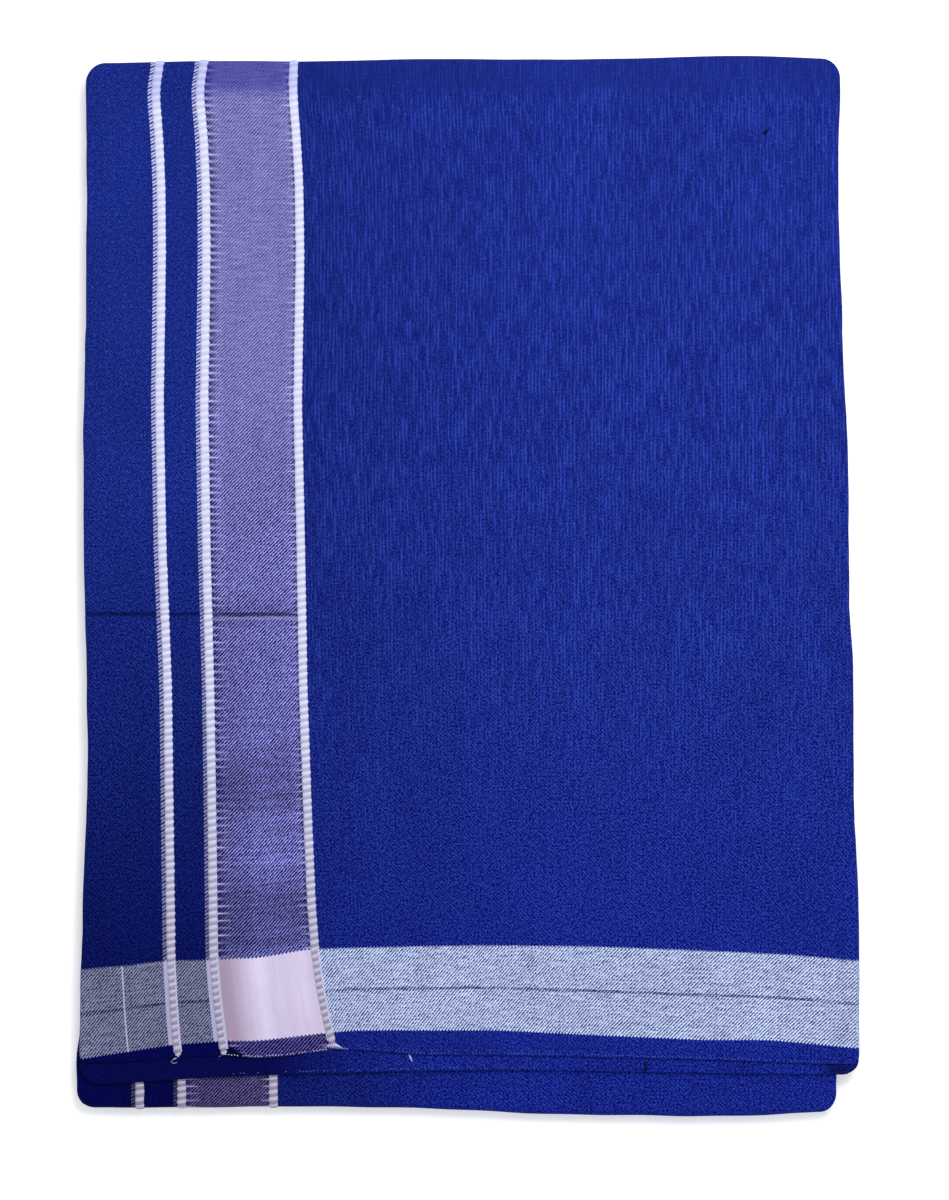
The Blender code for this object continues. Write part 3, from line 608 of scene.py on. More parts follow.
# Beside the cords, short dark teeth, one for each rib, with a thin white thread between.
rib_lines = pattern_lines(cotton, along, RIB_PITCH)
CORD_BED_HALF = 1.7
for from_cord, toward, thread_length, tooth_length in ((CORDS_ACROSS[1], 1, 6.5, 3.6),
                                                       (CORDS_ACROSS[2], -1, 4.0, 1.4)):
    start = from_cord + CORD_BED_HALF * toward
    near_cord = add_node(cotton, "MapRange", across, start, start + thread_length * toward, 1.0, 0.0)
    white_thread = add_node(cotton, "MapRange", rib_lines, 0.86, 0.96, 0.0, 0.8)
    white_thread = add_node(cotton, "MULTIPLY", white_thread, near_cord)
    white_thread = add_node(cotton, "MULTIPLY", white_thread, weft_slub)
    tooth = add_node(cotton, "MapRange", across, start, start + tooth_length * toward, 1.0, 0.0)
    between_ribs = add_node(cotton, "MapRange", rib_lines, 0.3, 0.6, 1.0, 0.1)
    tooth = add_node(cotton, "MULTIPLY", tooth, between_ribs)
    lavender = add_node(cotton, "MixRGB", tooth, lavender, "#120c50")
    lavender = add_node(cotton, "MixRGB", white_thread, lavender, "#c6c4ea")
# In the hem's left corner the turned-in blue shows, below a slanting line.
hem_corner = add_node(cotton, "MULTIPLY_ADD", across, 0.82, along)
hem_corner = add_node(cotton, "MapRange", hem_corner, -273.8, -272.8, 1.0, 0.0)
hem_corner = add_node(cotton, "MULTIPLY", hem_corner, in_hem)
lavender = add_node(cotton, "MixRGB", hem_corner, lavender, "#02042e")
# In the roll at the far end it is painted darker, as painted shade.
lavender = add_node(cotton, "MixRGB", add_node(cotton, "MULTIPLY", in_roll, 0.6), lavender, "#201f84")
colour = add_node(cotton, "MixRGB", in_lavender, colour, lavender)
# Across the border and the band runs a sharp old fold, with painted shade in the fold and a painted
# highlight just below it.
from_fold = add_node(cotton, "MULTIPLY_ADD", weft_slub, 0.5, along)
left_of_cord = add_node(cotton, "MapRange", across, CORDS_ACROSS[2] + 4.0, CORDS_ACROSS[2])
for fold_at, spread, share, fold_colour, where in (
    (-11.2, 1.2, 0.64, "#040836", left_of_cord), (-12.9, 1.0, 0.24, "#a4a4e0", in_lavender),
):
    painted_fold_light = add_node(cotton, "MapRange", away_from(from_fold, fold_at), 0.2, spread, share, 0.0)
    painted_fold_light = add_node(cotton, "MULTIPLY", painted_fold_light, where)
    colour = add_node(cotton, "MixRGB", painted_fold_light, colour, fold_colour)

# The pale band across the cloth: white weft in twill over the same warp, so the denser warp by the
# border shows through as grey, and the purple warp as pinkish satin.
edge_teeth = add_node(cotton, "MULTIPLY_ADD", pattern_lines(cotton, across, TWILL_PITCH), 0.6, along)
in_cross_band = add_node(cotton, "COMPARE", edge_teeth, sum(CROSS_BAND) / 2 + 0.3,
                         (CROSS_BAND[1] - CROSS_BAND[0]) / 2)
pale_threads = add_node(cotton, "MULTIPLY_ADD", fuzz, 0.45, rising)
pale_threads = add_node(cotton, "MULTIPLY_ADD", weft_slub, 0.3, pale_threads)
# One weft thread is dark, and shows as a row of dots between the warp threads.
dark_weft = add_node(cotton, "COMPARE", along, -166.6, 0.6)
uneven = add_node(cotton, "MULTIPLY_ADD", slubs(0.07, 0.02, 0.3, 0.7), 0.5, 0.5)
dark_weft = add_node(cotton, "MULTIPLY", dark_weft, uneven)
pale_threads = add_node(cotton, "MULTIPLY_ADD", dark_weft, -0.5, pale_threads)
pale_threads = add_node(cotton, "MapRange", pale_threads, 0.42, 1.23)
pale = add_node(cotton, "MixRGB", pale_threads, "#0f1f66", "#c9d6f5")
grey = add_node(cotton, "MixRGB", pale_threads, "#030523", "#878aac")
white_warp = add_node(cotton, "COMPARE", across, -147.6, 0.3)
grey = add_node(cotton, "MixRGB", white_warp, grey, "#a9a8c2")
pale = add_node(cotton, "MixRGB", by_border, pale, grey)
# The satin: pinker beside the second cord, with one soft upright fold of light.
satin = add_node(cotton, "MixRGB", slubs(0.15, 0.02, 0.3, 0.7, 1.0), "#c9bcd7", "#cec3dc")
pinker = add_node(cotton, "MapRange", across, -103.0, -95.5, 1.0, 0.0)
satin = add_node(cotton, "MixRGB", pinker, satin, "#a893a9")
fold_of_light = add_node(cotton, "MapRange", away_from(across, -92.6), 1.0, 4.5, 0.45, 0.0)
satin = add_node(cotton, "MixRGB", fold_of_light, satin, "#ded7ee")
satin_lines = add_node(cotton, "MapRange", rising, 0.5, 1.0, 0.0, 0.3)
satin = add_node(cotton, "MixRGB", satin_lines, satin, "#8f82ac")
pale = add_node(cotton, "MixRGB", in_lavender, pale, satin)
colour = add_node(cotton, "MixRGB", in_cross_band, colour, pale)

# Left of the first and second cord, a narrow strip hatched in white and purple. Under the cords lies
# a bed of white thread.
hatch = add_node(cotton, "MULTIPLY_ADD", across, -0.6, along)
hatch = add_node(cotton, "MULTIPLY_ADD", pattern_lines(cotton, hatch, RIB_PITCH / 2), 2.0, rib_lines)
hatch = add_node(cotton, "MapRange", hatch, 0.7, 2.2)
hatched = add_node(cotton, "MixRGB", hatch, "#24246c", "#acb2e0")
# Painted shade: the strip is greyer low down and darker on the turn below.
hatch_shade = add_node(cotton, "MapRange", along, -150.0, 110.0)
hatch_shade = add_node(cotton, "SUBTRACT", hatch_shade, folded_under, use_clamp=True)
hatch_shade = add_node(cotton, "MixRGB", hatch_shade, "#a8a4a8", "#ffffff")
hatch_shade = add_node(cotton, "MixRGB", folded_under, hatch_shade, "#6a6670")
hatched = add_node(cotton, "MixRGB", 1.0, hatched, hatch_shade, blend_type="MULTIPLY")
hatched = add_node(cotton, "MixRGB", in_cross_band, hatched, "#a8a6c6")
above_hem_end = add_node(cotton, "GREATER_THAN", along, -187.4)
for cord_at in CORDS_ACROSS:
    if cord_at != CORDS_ACROSS[2]:
        by_cord = add_node(cotton, "COMPARE", across, cord_at - 2.65, 0.85)
        by_cord = add_node(cotton, "SUBTRACT", by_cord, in_hem, use_clamp=True)
        colour = add_node(cotton, "MixRGB", by_cord, colour, hatched)
    on_cord = add_node(cotton, "COMPARE", across, cord_at, CORD_BED_HALF)
    on_cord = add_node(cotton, "MULTIPLY", on_cord, above_hem_end)
    colour = add_node(cotton, "MixRGB", on_cord, colour, "#b9b8d4")
dye = add_node(cotton, "MULTIPLY_ADD", slubs(0.3, 0.008, 0.3, 0.7), 0.8, mottle)
dye = add_node(cotton, "MapRange", dye, 0.0, 1.8, 0.87, 1.13)
colour = add_node(cotton, "MixRGB", 1.0, colour, dye, blend_type="MULTIPLY")

relief_of_weave = add_node(cotton, "ADD", threads, rising)
cotton_bump = add_node(cotton, "Bump", Strength=0.5, Distance=0.00008, Height=relief_of_weave)
cotton_shader = add_node(cotton, "BsdfPrincipled", Base_Color=colour, Roughness=0.9, IOR=1.45,
                         Specular_IOR_Level=0.05, Sheen_Weight=0.01, Sheen_Roughness=0.5, Normal=cotton_bump)
add_node(cotton, "OutputMaterial", cotton_shader)

# The folds of the hidden turns as (low, high, inset, depth): two at the sides for each turn.
SIDE_FOLDS = ((0.0, 1.5, 0.0, 0.9), (1.5, 3.0, 0.2, 0.9), (3.0, 4.65, 0.1, 0.9),
              (4.65, 6.2, 0.3, 0.9), (6.2, 7.3, 0.2, 0.7), (7.3, 8.1, 3.4, 0.3))
NEAR_FOLDS = ((0.0, 3.0, 0.0, 1.6), (3.0, 4.7, 5.2, 0.3), (4.7, 8.1, 2.8, 1.6))
FAR_FOLDS = ((0.0, 6.2, 0.0, 2.8), (6.2, 8.1, 6.8, 0.2))
FOLD_STEPS = 7


def fold_edge(folds, level):
    """How far in the folded edge lies at one height."""
    low, high, inset, depth = next(fold for fold in folds if fold[0] <= level <= fold[1])
    share = min(1.0, abs(2 * level - low - high) / (high - low))
    return inset + depth * (1 - math.sqrt(1 - share**2))


# The marks pressed into the flat underside: depth, below 0 because it faces down, half width and path.
UNDERSIDE_CREASES = (
    (-0.5, 5, ((-170, -6), (-20, -9), (170, -4))),
    (-0.3, 4, ((-60, 205), (-52, 60), (-64, -40))),
    (-0.35, 5, ((20, -180), (70, -120), (150, -96))),
    (-0.3, 4, ((30, 90), (80, 130), (140, 140))),
)
hidden = Stretch("inner_turns", (-217.0, 218.0), (3.7, 4.4, 7.0), (8.0, 8.0), (0.75, 1.5, 3.1), 4.0,
                 lambda x, y: 0 * x, lambda x, y: (x, y + 2 * LAYER_STEP))
levels = sorted({
    round((low + high) / 2 - (high - low) / 2 * math.cos(math.pi * k / (FOLD_STEPS - 1)), 4)
    for low, high, _, _ in SIDE_FOLDS for k in range(FOLD_STEPS)
}, reverse=True)
for level in levels[1:]:
    fold = next(n for n, row in enumerate(SIDE_FOLDS) if row[0] <= level <= row[1])
    down = 1 - level / levels[0]
    steps = [(fold_edge(folds, level), down) for folds in (SIDE_FOLDS, NEAR_FOLDS, FAR_FOLDS)]
    size = 0.3 if fold < 5 else 0.0
    waver = hidden.waver(40 + fold, size, 70) + hidden.waver(60 + fold, size / 3, 17)
    hidden.add_ring(*steps, bottom=0.0, waver=waver)
hidden_turns = hidden.make("hidden_turns", cotton, bottom=lambda x, y: creased(x, y, UNDERSIDE_CREASES))
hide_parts("inner_turns")

# ---- the second turn ----
# The next layer up: the same cotton, taken over the hidden turns and folded back at the near end.
# Its soft round fold shows past both hemmed ends, with its own length of the border.
SECOND_TURN_CORDS = (-135.9, -118.5, -80.4)
ARC_STEPS = 10
CLOTH_WALL = 0.35


def lip(radius, leg):
    """(inset, drop) down a folded side: a quarter turn and a short leg."""
    arc = [math.pi / 2 * k / ARC_STEPS for k in range(1, ARC_STEPS + 1)]
    return [(radius * (1 - math.sin(a)), radius * (1 - math.cos(a))) for a in arc] + [(0.1, radius + leg)]


def roll(reach, height, leg):
    """(inset, drop) round a fold: half an oval, and a leg back in."""
    arc = [math.pi * k / ARC_STEPS for k in range(1, ARC_STEPS + 1)]
    steps = [(reach * (1 - math.sin(a)), height / 2 * (1 - math.cos(a))) for a in arc]
    return steps + [(reach + leg, height)]


turn = Stretch("second_turn", (-217.0, 205.0), (1.4, 2.6, 0.4), (7.0, 8.0), (7.8, 6.4, 8.9), 4.0,
               lambda x, y: 0 * x, lambda x, y: (cloth_across(x, SECOND_TURN_CORDS), y + LAYER_STEP),
               left=((-205, -198, -192, -180), (0.2, 1.1, 1.1, SWELL["left"])),
               near=((-150, 0, 120, 150), (0.8, 1.0, 1.1, 1.7)))
soft = turn.waver(5, 0.25, 60)
for step in zip(lip(1.4, 0.4), roll(2.6, 6.0, 1.1), roll(0.4, 0.9, 0.2)):
    turn.add_ring(*step, waver=soft * min(1.0, step[1][1] / 2))
second_turn = turn.make("second_turn_cloth", cotton, wall=CLOTH_WALL)
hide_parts("second_turn")

# ---- the second panel ----
# The other three quarters of the cloth's width, folded under the top one. Their hemmed ends reach
# a little further out than the top hem, one just behind another, and their sides are round folds.
# The pale band's upper and lower edge on the top panel, as (x, y).
BAND_UPPER = ((-159.8, -159.0), (-142.0, -157.5), (-125.0, -155.4), (-107.1, -155.0), (-85.6, -154.2),
              (-64.9, -150.5), (-55.3, -150.3), (-25.1, -149.5), (5.6, -149.0), (51.2, -149.4),
              (96.8, -151.1), (134.1, -152.9), (162.3, -155.4))
BAND_LOWER = ((-161.9, -196.5), (-141.1, -193.2), (-122.5, -190.3), (-103.0, -188.8), (-85.6, -188.6),
              (-59.5, -185.5), (-45.8, -184.2), (-25.0, -184.2), (13.9, -184.2), (46.2, -185.9),
              (96.8, -188.2), (125.8, -188.2), (162.3, -191.7))
upper_edge, lower_edge = smooth_line(BAND_UPPER, 1, 7), smooth_line(BAND_LOWER, 1, 7)


def cloth_along(x, y):
    """Where points lie along the woven cloth, so that the cross band follows the pull of the folds."""
    upper, lower = np.interp(x, *upper_edge), np.interp(x, *lower_edge)
    above = y - (upper - CROSS_BAND[1]) * np.clip(1 - (y - upper) / 150, 0, 1)
    within = CROSS_BAND[0] + (y - lower) * (CROSS_BAND[1] - CROSS_BAND[0]) / (upper - lower)
    return np.where(y > upper, above, np.where(y > lower, within, CROSS_BAND[0] + y - lower))


def panel_relief(x, y):
    """Its near end is pressed flatter, most of all away from the border."""
    depth = 0.85 + 0.5 * ease((x - 10) / 60)
    return -depth * ease((-197.5 - 0.03 * np.abs(x - 40) - y) / 5.5)


panel = Stretch("second_panel", (-203.0, 214.2), (1.9, 0.7, 0.8), (6.0, 8.0), (10.5, 11.1, 10.5), 4.0,
                panel_relief, lambda x, y: (2 * HALF_WIDTH - x, cloth_along(x, y)))
# From the top down: the share of the way down, and the inset at the sides, near end and far end.
PANEL_EDGE = ((0.04, 1.65, 0.25, 0.4), (0.15, 1.5, 0.0, 0.2), (0.26, 1.5, 0.2, 0.1), (0.32, 1.6, 1.0, 0.1),
              (0.37, 0.7, 0.75, 0.1), (0.44, 0.25, 0.5, 0.1), (0.52, 0.05, 0.55, 0.1), (0.62, 0.4, 1.3, 0.1),
              (0.66, 0.9, 1.5, 0.1), (0.71, 0.35, 1.1, 0.1), (0.82, 0.1, 0.95, 0.2), (0.93, 0.45, 1.3, 0.4),
              (1.0, 1.2, 1.7, 0.8))
PANEL_BOTTOM = 9.7
for n, (share, side, near, far) in enumerate(PANEL_EDGE):
    size = 0.25 if n > 3 else 0.05
    panel.add_ring((side, share), (near, share), (far, share), bottom=PANEL_BOTTOM,
                   waver=panel.waver(70 + (n > 8), size, 55))
second_panel = panel.make("second_panel_cloth", cotton, bottom=lambda x, y: PANEL_BOTTOM + 0 * x)
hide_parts("second_panel")

# ---- the top panel ----
# The quarter of the width that shows: one layer of the cotton, hemmed at the near end, folded down
# at both sides and rolled over at the far end. It was folded in half once, and has dried with the
# marks of the hand that smoothed it.
# How the border's cords run over it: y, and the x of each cord.
CORD_ROWS = ((-194.6, -119.6, -100.5, -54.5), (-182.6, -120.8, -102.0, -57.2),
             (-172.6, -121.4, -103.2, -59.5), (-152.7, -122.5, -104.9, -62.6),
             (-132.8, -122.7, -105.1, -64.2), (-103.0, -123.1, -105.4, -65.5),
             (-43.3, -123.8, -106.3, -67.7), (16.4, -126.2, -107.9, -68.7),
             (76.1, -127.3, -108.8, -70.0), (135.7, -126.4, -107.9, -69.0),
             (165.6, -126.6, -108.1, -69.4), (185.5, -127.5, -109.0, -70.5),
             (205.4, -129.1, -110.9, -72.1), (218.0, -127.0, -108.8, -71.6))
cord_lines = [smooth_line(CORD_ROWS, column) for column in (1, 2, 3)]
# The line of its near end, as (x, y).
TOP_END = ((-161.0, -199.6), (-120.0, -195.7), (-77.0, -193.4), (-54.0, -191.9), (-25.0, -194.8),
           (6.0, -194.8), (97.0, -196.7), (162.0, -199.2))
# Troughs and ridges: depth, half width and path.
CREASES = (
    (0.75, 1.0, ((-172, -11.7), (-110, -11.6), (-66, -11.9))),
    (-0.25, 1.6, ((-172, -13.3), (-110, -13.1), (-68, -13.5))),
    (-0.18, 3.0, ((-80, -5.6), (0, -5.2), (80, -6.0), (176, -5.4))),
    (-0.14, 2.2, ((50, 7.0), (100, 6.6), (158, 7.4))),
    (-0.14, 2.2, ((104, -14.1), (164, -13.8))),
    (-0.16, 2.6, ((78, 81), (105, 92), (136, 104))),
    (-0.16, 3.0, ((58, 49), (84, 40), (107, 31.1), (130, 25), (158, 20))),
    (-0.2, 1.4, ((15, 0), (24, -6), (33, -12))),
    (-0.26, 5.5, ((-40, 200), (10, 202), (60, 201), (120, 199))),
    (-0.12, 4.0, ((-150, 120), (-146, 20), (-149, -120))),
    (-0.10, 5.0, ((20, -60), (60, -66), (118, -60))),
)


def top_relief(x, y):
    """The creases, and a slight unevenness over the whole panel."""
    total = creased(x, y, CREASES)
    chance = random.Random(11)
    for _ in range(9):
        length, turn_by = chance.uniform(22, 75), chance.uniform(0, math.pi)
        place_on = x * math.cos(turn_by) + y * math.sin(turn_by)
        total = total + 0.028 * np.sin(place_on / length * 2 * math.pi + chance.uniform(0, 6.28))
    hem = np.interp(x, *lower_edge)
    end = np.interp(x, *np.transpose(TOP_END))
    return total + 0.12 * ease((hem - y) / 1.5) - 0.55 * ease((end + 5.0 - y) / 5.0)


def top_threads(x, y):
    """Where points lie in the woven cloth."""
    return cloth_across(x, [np.interp(y, *line) for line in cord_lines]), cloth_along(x, y)


top = Stretch("top_panel", (-196.0, 218.0), (1.4, 0.5, 3.0), (3.0, 8.0), (11.75, 12.4, 9.6), 2.6,
              top_relief, top_threads, fine=((-127.0, -108.0, -69.5), (-11.7, -5.5, -186.0, -194.0)),
              near=((-106, -100, -88, -76, -62, -55), (0, 0.7, 2.2, 2.1, 0.8, 0)),
              far=((-80, -30), (0.0, 0.5)))
soft = top.waver(9, 0.2, 55)
for step in zip(lip(1.4, 0.4), roll(0.5, 0.75, 0.6), roll(3.0, 5.7, 1.1)):
    top.add_ring(*step, waver=soft * min(1.0, step[0][1] / 1.2))
top_panel = top.make("top_panel_cloth", cotton, wall=CLOTH_WALL)
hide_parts("top_panel")

# ---- the cords ----
# Three thick white cotton cords are woven into the border. Each weft pass draws one up into a short
# rib, by turns wider and narrower, and in the pale band the ribs stand up as soft beads.
# White cotton cord: matt and a little fluffy, with the twist of its yarn drawn about 0.7 mm wide.
cord_cotton = new_material("thick_white_cotton_cord")
cord_place, cord_across, cord_along = woven_place(cord_cotton)
twist = add_node(cord_cotton, "ADD", cord_across, cord_along)
twist = pattern_lines(cord_cotton, twist, 0.7)
fluff = add_node(cord_cotton, "TexNoise", cord_place, Scale=0.8, Detail=3.0)
soiled = add_node(cord_cotton, "MULTIPLY", twist, fluff)
cord_colour = add_node(cord_cotton, "MixRGB", soiled, "#d2d5ec", "#bfc1dc")
RIB_SLANT = 0.16
slanted = add_node(cord_cotton, "MULTIPLY_ADD", cord_across, -RIB_SLANT, cord_along)
rib_shade = pattern_lines(cord_cotton, slanted, RIB_PITCH)
# The narrow rib of each pitch is painted dimmer, as painted shade, less so towards the far end.
painted_rib_shade = add_node(cord_cotton, "MapRange", rib_shade, 0.38, 0.55, 1.0, 0.0)
less_dim = add_node(cord_cotton, "MapRange", cord_along, 0.0, 260.0, 1.0, 0.4)
painted_rib_shade = add_node(cord_cotton, "MULTIPLY", painted_rib_shade, less_dim)
cord_colour = add_node(cord_cotton, "MixRGB", painted_rib_shade, cord_colour, "#9997b6")
# Painted shade: the cord is greyer towards its near end.
painted_low_shade = add_node(cord_cotton, "MapRange", cord_along, 0.0, 150.0)
painted_low_shade = add_node(cord_cotton, "MixRGB", painted_low_shade, "#e2d9d8", "#ffffff")
cord_colour = add_node(cord_cotton, "MixRGB", 1.0, cord_colour, painted_low_shade, blend_type="MULTIPLY")
# Painted shade: darker in the roll at the far end.
far_roll_shade = add_node(cord_cotton, "MapRange", cord_along, 392.0, 401.0)
far_roll_shade = add_node(cord_cotton, "MixRGB", far_roll_shade, "#ffffff", "#e0e3f8")
cord_colour = add_node(cord_cotton, "MixRGB", 1.0, cord_colour, far_roll_shade, blend_type="MULTIPLY")
cord_bump = add_node(cord_cotton, "Bump", Strength=0.4, Distance=0.0001, Height=twist)
cord_shader = add_node(cord_cotton, "BsdfPrincipled", Base_Color=cord_colour, Roughness=0.8, IOR=1.45,
                       Specular_IOR_Level=0.3, Sheen_Weight=0.1, Normal=cord_bump)
add_node(cord_cotton, "OutputMaterial", cord_shader)
CORD_WIDTH, CORD_HEIGHT = 3.85, 0.62
# Half of a cord's section from its crown out, as shares of its width and height.
CORD_HALF = ((0.0, 1.0), (0.27, 0.88), (0.46, 0.4), (0.5, -0.25))
CORD_PROFILE = [(-out, up) for out, up in CORD_HALF[:0:-1]] + list(CORD_HALF)
# One pitch of a cord: a bright wide rib and a dimmer narrow one. Each row is its share of the pitch,
# then width and height in the plain cloth, and in the pale band, where the narrow one sinks away.
RIB_ROWS = ((0.0, 0.9, 0.8, 0.68, 0.45), (0.08, 1.0, 0.99, 0.88, 0.85), (0.25, 1.0, 1.03, 1.0, 1.1),
            (0.42, 0.99, 0.99, 0.88, 0.85), (0.5, 0.9, 0.82, 0.68, 0.45), (0.58, 0.93, 0.92, 0.72, 0.5),
            (0.75, 0.93, 0.94, 0.7, 0.48), (0.92, 0.93, 0.92, 0.72, 0.5))


def lay_cord(name, rows, centre, node, start, clip, seed, narrow=0.0):
    """A ribbed cord along rows of points, from its start on. Narrow is how much its cut end thins."""
    path, before = [], None
    for row in rows:
        row = row[np.argsort(row[:, 0])]
        x = centre(row[len(row) // 3, 1])
        x = centre(np.interp(x, row[:, 0], row[:, 1]))
        point = [x, np.interp(x, row[:, 0], row[:, 1]), np.interp(x, row[:, 0], row[:, 2])]
        point = np.array(point)
        if clip(point):
            if not path and before is not None:
                path.append(before + (point - before) * (start - before[1]) / (point[1] - before[1]))
            path.append(point)
        before = point
    path = np.array(path)
    walked = np.concatenate([[0.0], np.cumsum(np.linalg.norm(np.diff(path, axis=0), axis=1))])
    pitches = np.arange(round(walked[-1] / RIB_PITCH))
    pitch = walked[-1] / len(pitches)
    steps = ((pitches[:, None] + np.array(RIB_ROWS)[:, 0]) * pitch).ravel()
    path = np.stack([np.interp(steps, walked, path[:, k]) for k in range(3)], -1)
    way = np.gradient(path, steps, axis=0)
    way /= np.linalg.norm(way, axis=1)[:, None]
    onward = math.copysign(1.0, way[0, 1])
    side = np.array([onward, 0, 0]) - way * (way[:, :1] * onward)
    side /= np.linalg.norm(side, axis=1)[:, None]
    out = np.cross(side, way)
    chance = random.Random(seed)
    rib_chance = np.array([[chance.uniform(-1, 1) for _ in range(3)] for _ in pitches])
    rib_chance = np.repeat(rib_chance, len(RIB_ROWS), axis=0)
    band_middle = (np.interp(path[:, 0], *upper_edge) + np.interp(path[:, 0], *lower_edge)) / 2
    in_band = (np.abs(path[:, 1] - band_middle) < 17.5) & (path[:, 2] > 10)
    wide, tall, bead_wide, bead_tall = np.tile(np.array(RIB_ROWS)[:, 1:], (len(pitches), 1)).T
    wide, tall = np.where(in_band, bead_wide, wide), np.where(in_band, bead_tall, tall)
    taper = ease(np.minimum(steps, steps[-1] - steps) / 0.9 + 0.25)
    taper = taper * (1 - narrow * (1 - ease(steps / 9)))
    shift = (0.06 * rib_chance[:, 2] - 0.4 * (1 - wide) * CORD_WIDTH) * taper
    width = CORD_WIDTH * wide * (1 + 0.04 * rib_chance[:, 0]) * taper
    tall = CORD_HEIGHT * tall * (1 + 0.1 * rib_chance[:, 1]) * taper
    points, cloth = [], []
    for across_share, up_share in CORD_PROFILE:
        lift = tall * up_share if up_share > 0 else np.full(len(steps), -0.2)
        beside = width * across_share + shift
        slant = way * (RIB_SLANT * beside)[:, None]
        points.append(path + side * beside[:, None] + out * lift[:, None] + slant)
        cloth.append(np.stack([beside, steps * RIB_PITCH / pitch + RIB_SLANT * beside], -1))
    size, count = len(CORD_PROFILE), len(steps)
    number = np.arange(size)[None, :] * count + np.arange(count)[:, None]
    after = np.roll(number, -1, axis=1)
    faces = np.stack([number[:-1], after[:-1], after[1:], number[1:]], -1).reshape(-1, 4)
    cord = make_piece(name, np.concatenate(points), faces, cord_cotton, np.concatenate(cloth))
    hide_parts(node)
    return cord


far_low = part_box("first_cord")[0].z / MM
# The third cord's tip is frayed, so the whole cord ends sooner.
for n, (node, frayed) in enumerate((("first_cord", 0.2), ("second_cord", 0.2), ("third_cord", 1.4))):
    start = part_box(node)[0].y / MM + frayed
    line = cord_lines[n]
    lay_cord(node + "_ribbed", top.rows_across("far"), lambda y: np.interp(y, *line), node,
                          start, lambda at: at[1] > start and (at[1] < 200 or at[2] > far_low),
                          narrow=0.3, seed=3 + n)

for n, node in enumerate(("first_cord_turn", "second_cord_turn", "third_cord_turn")):
    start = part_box(node)[1].y / MM
    at_x = SECOND_TURN_CORDS[n]
    lay_cord(node + "_ribbed", turn.rows_across("near"), lambda y: at_x, node, start,
             lambda at: at[1] < start, seed=13 + n)

# ---- the stitches and loose threads ----
# Both hemmed ends are sewn with a machine's lockstitch, whose thread shows white on the lavender and
# pale blue on the blue. The cords' cut ends fray beyond the top hem, and a few bits of lint lie about.
surfaces = [ray_tree(piece.data, piece.data.polygons) for piece in (top_panel, second_panel)]


def surface_at(x, y):
    """The height of the cloth at a point, in mm."""
    start = Vector((x, y, 60)) * MM
    hits = [tree.ray_cast(start, Vector((0, 0, -1)))[0] for tree in surfaces]
    return max(hit.z for hit in hits if hit) / MM


def thread_material(name, colour):
    """Sewing thread or lint: matt and soft, one colour, too thin for its twist to show."""
    material = new_material(name)
    shader = add_node(material, "BsdfPrincipled", Base_Color=colour, Roughness=0.85, IOR=1.45,
                      Specular_IOR_Level=0.2)
    add_node(material, "OutputMaterial", shader)
    return material


def lay_threads(name, threads, material):
    """Short threads that lie on the cloth, as one mesh. Each is its half width and its path, in mm."""
    points, faces = [], []
    for half_width, path in threads:
        path = np.array(path)
        way = np.gradient(path, axis=0)
        way /= np.linalg.norm(way, axis=1)[:, None]
        last = len(path) - 1
        for n, ((x, y), (way_x, way_y)) in enumerate(zip(path, way)):
            half = half_width * (0.6 if n in (0, last) else 1.0)
            z = surface_at(x, y) + 0.5 * half
            points += [(x + way_y * half, y - way_x * half, z), (x, y, z + half),
                       (x - way_y * half, y + way_x * half, z), (x, y, z - half)]
            if n:
                now, before = len(points) - 4, len(points) - 8
                faces += [(before + k, before + (k + 1) % 4, now + (k + 1) % 4, now + k) for k in range(4)]
        end = len(points) - 4
        faces += [(end, end + 1, end + 2, end + 3), tuple(end - 4 * last + k for k in (3, 2, 1, 0))]
    piece = make_piece(name, points, faces, material)


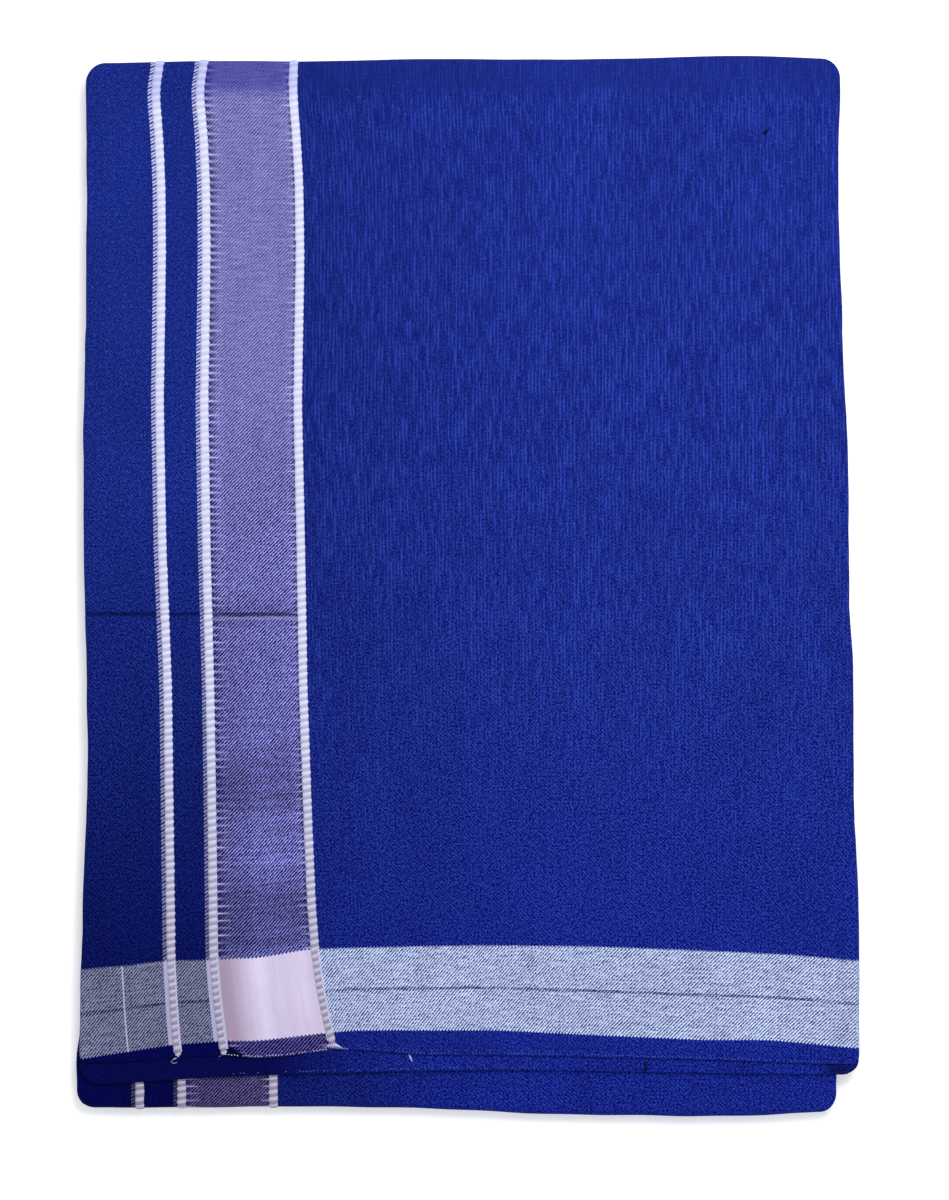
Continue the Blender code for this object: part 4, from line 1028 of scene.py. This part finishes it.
def hem_stitches(stretch, low, high, inset, pitch, length, half_width, share, seed):
    """A row of stitches along a hemmed end, of which a share stands out."""
    chance = random.Random(seed)
    row = []
    for x in np.arange(low, high, pitch):
        shown, turned = chance.random() < share, chance.uniform(-0.12, 0.12)
        y = np.interp(x, *stretch.near) + inset + chance.uniform(-0.12, 0.12)
        if shown:
            row.append((half_width, [(x, y), (x + length / 2, y + turned / 2), (x + length, y + turned)]))
    return row


white_thread = thread_material("white_sewing_thread", "#dcdcee")
blue_thread = thread_material("pale_blue_sewing_thread", "#4a60bc")
lint = thread_material("black_lint", "#03041a")
lay_threads("white_hem_stitches", hem_stitches(top, -101.4, -57.5, 0.75, 1.22, 0.55, 0.2, 0.9, 21),
            white_thread)
blue_stitches = hem_stitches(top, -47.0, 154.0, 0.95, 1.45, 0.7, 0.2, 0.72, 22)
blue_stitches += hem_stitches(top, -47.0, 60.0, 2.1, 1.45, 0.6, 0.18, 0.4, 23)
blue_stitches += hem_stitches(panel, -100.0, 40.0, 1.2, 1.45, 0.7, 0.2, 0.45, 24)
lay_threads("blue_hem_stitches", blue_stitches, blue_thread)
# The third cord's end is caught in the hem and fans out under it.
fan = [(0.17, [(-55.4 + 0.2 * k, -189.6), (-55.2 + 0.5 * k, -190.6), (-54.9 + 0.86 * k, -191.4 - 0.06 * k)])
       for k in range(-4, 5)]
fan += [(0.14, [(-54.9 + 0.86 * k, -191.4 - 0.06 * k), (-54.5 + 0.86 * k, -191.8 - 0.06 * k)])
        for k in range(-5, 7)]
lay_threads("third_cord_fanned_end", fan, white_thread)
lay_threads("frayed_cord_ends", [
    (0.34, [(-119.3, -195.0), (-120.8, -195.9), (-121.9, -196.7)]),
    (0.08, [(-121.9, -196.7), (-122.7, -197.6), (-121.6, -198.2), (-120.1, -197.7)]),
    (0.14, [(-100.2, -194.3), (-101.8, -194.9), (-102.9, -195.5)]),
], white_thread)
lay_threads("loose_white_thread", [(0.3, [(-23.9, -194.3), (-23.3, -195.8), (-22.6, -197.3)])], white_thread)
lay_threads("black_lint", [
    (0.5, [(74.6, -197.4), (74.4, -199.5), (74.2, -202.0)]), (0.35, [(73.2, -201.9), (74.2, -202.0)]),
    (0.8, [(123.1, 187.2), (123.8, 188.2), (124.5, 188.8)]), (0.3, [(124.5, 188.8), (126.0, 189.9)]),
], lint)
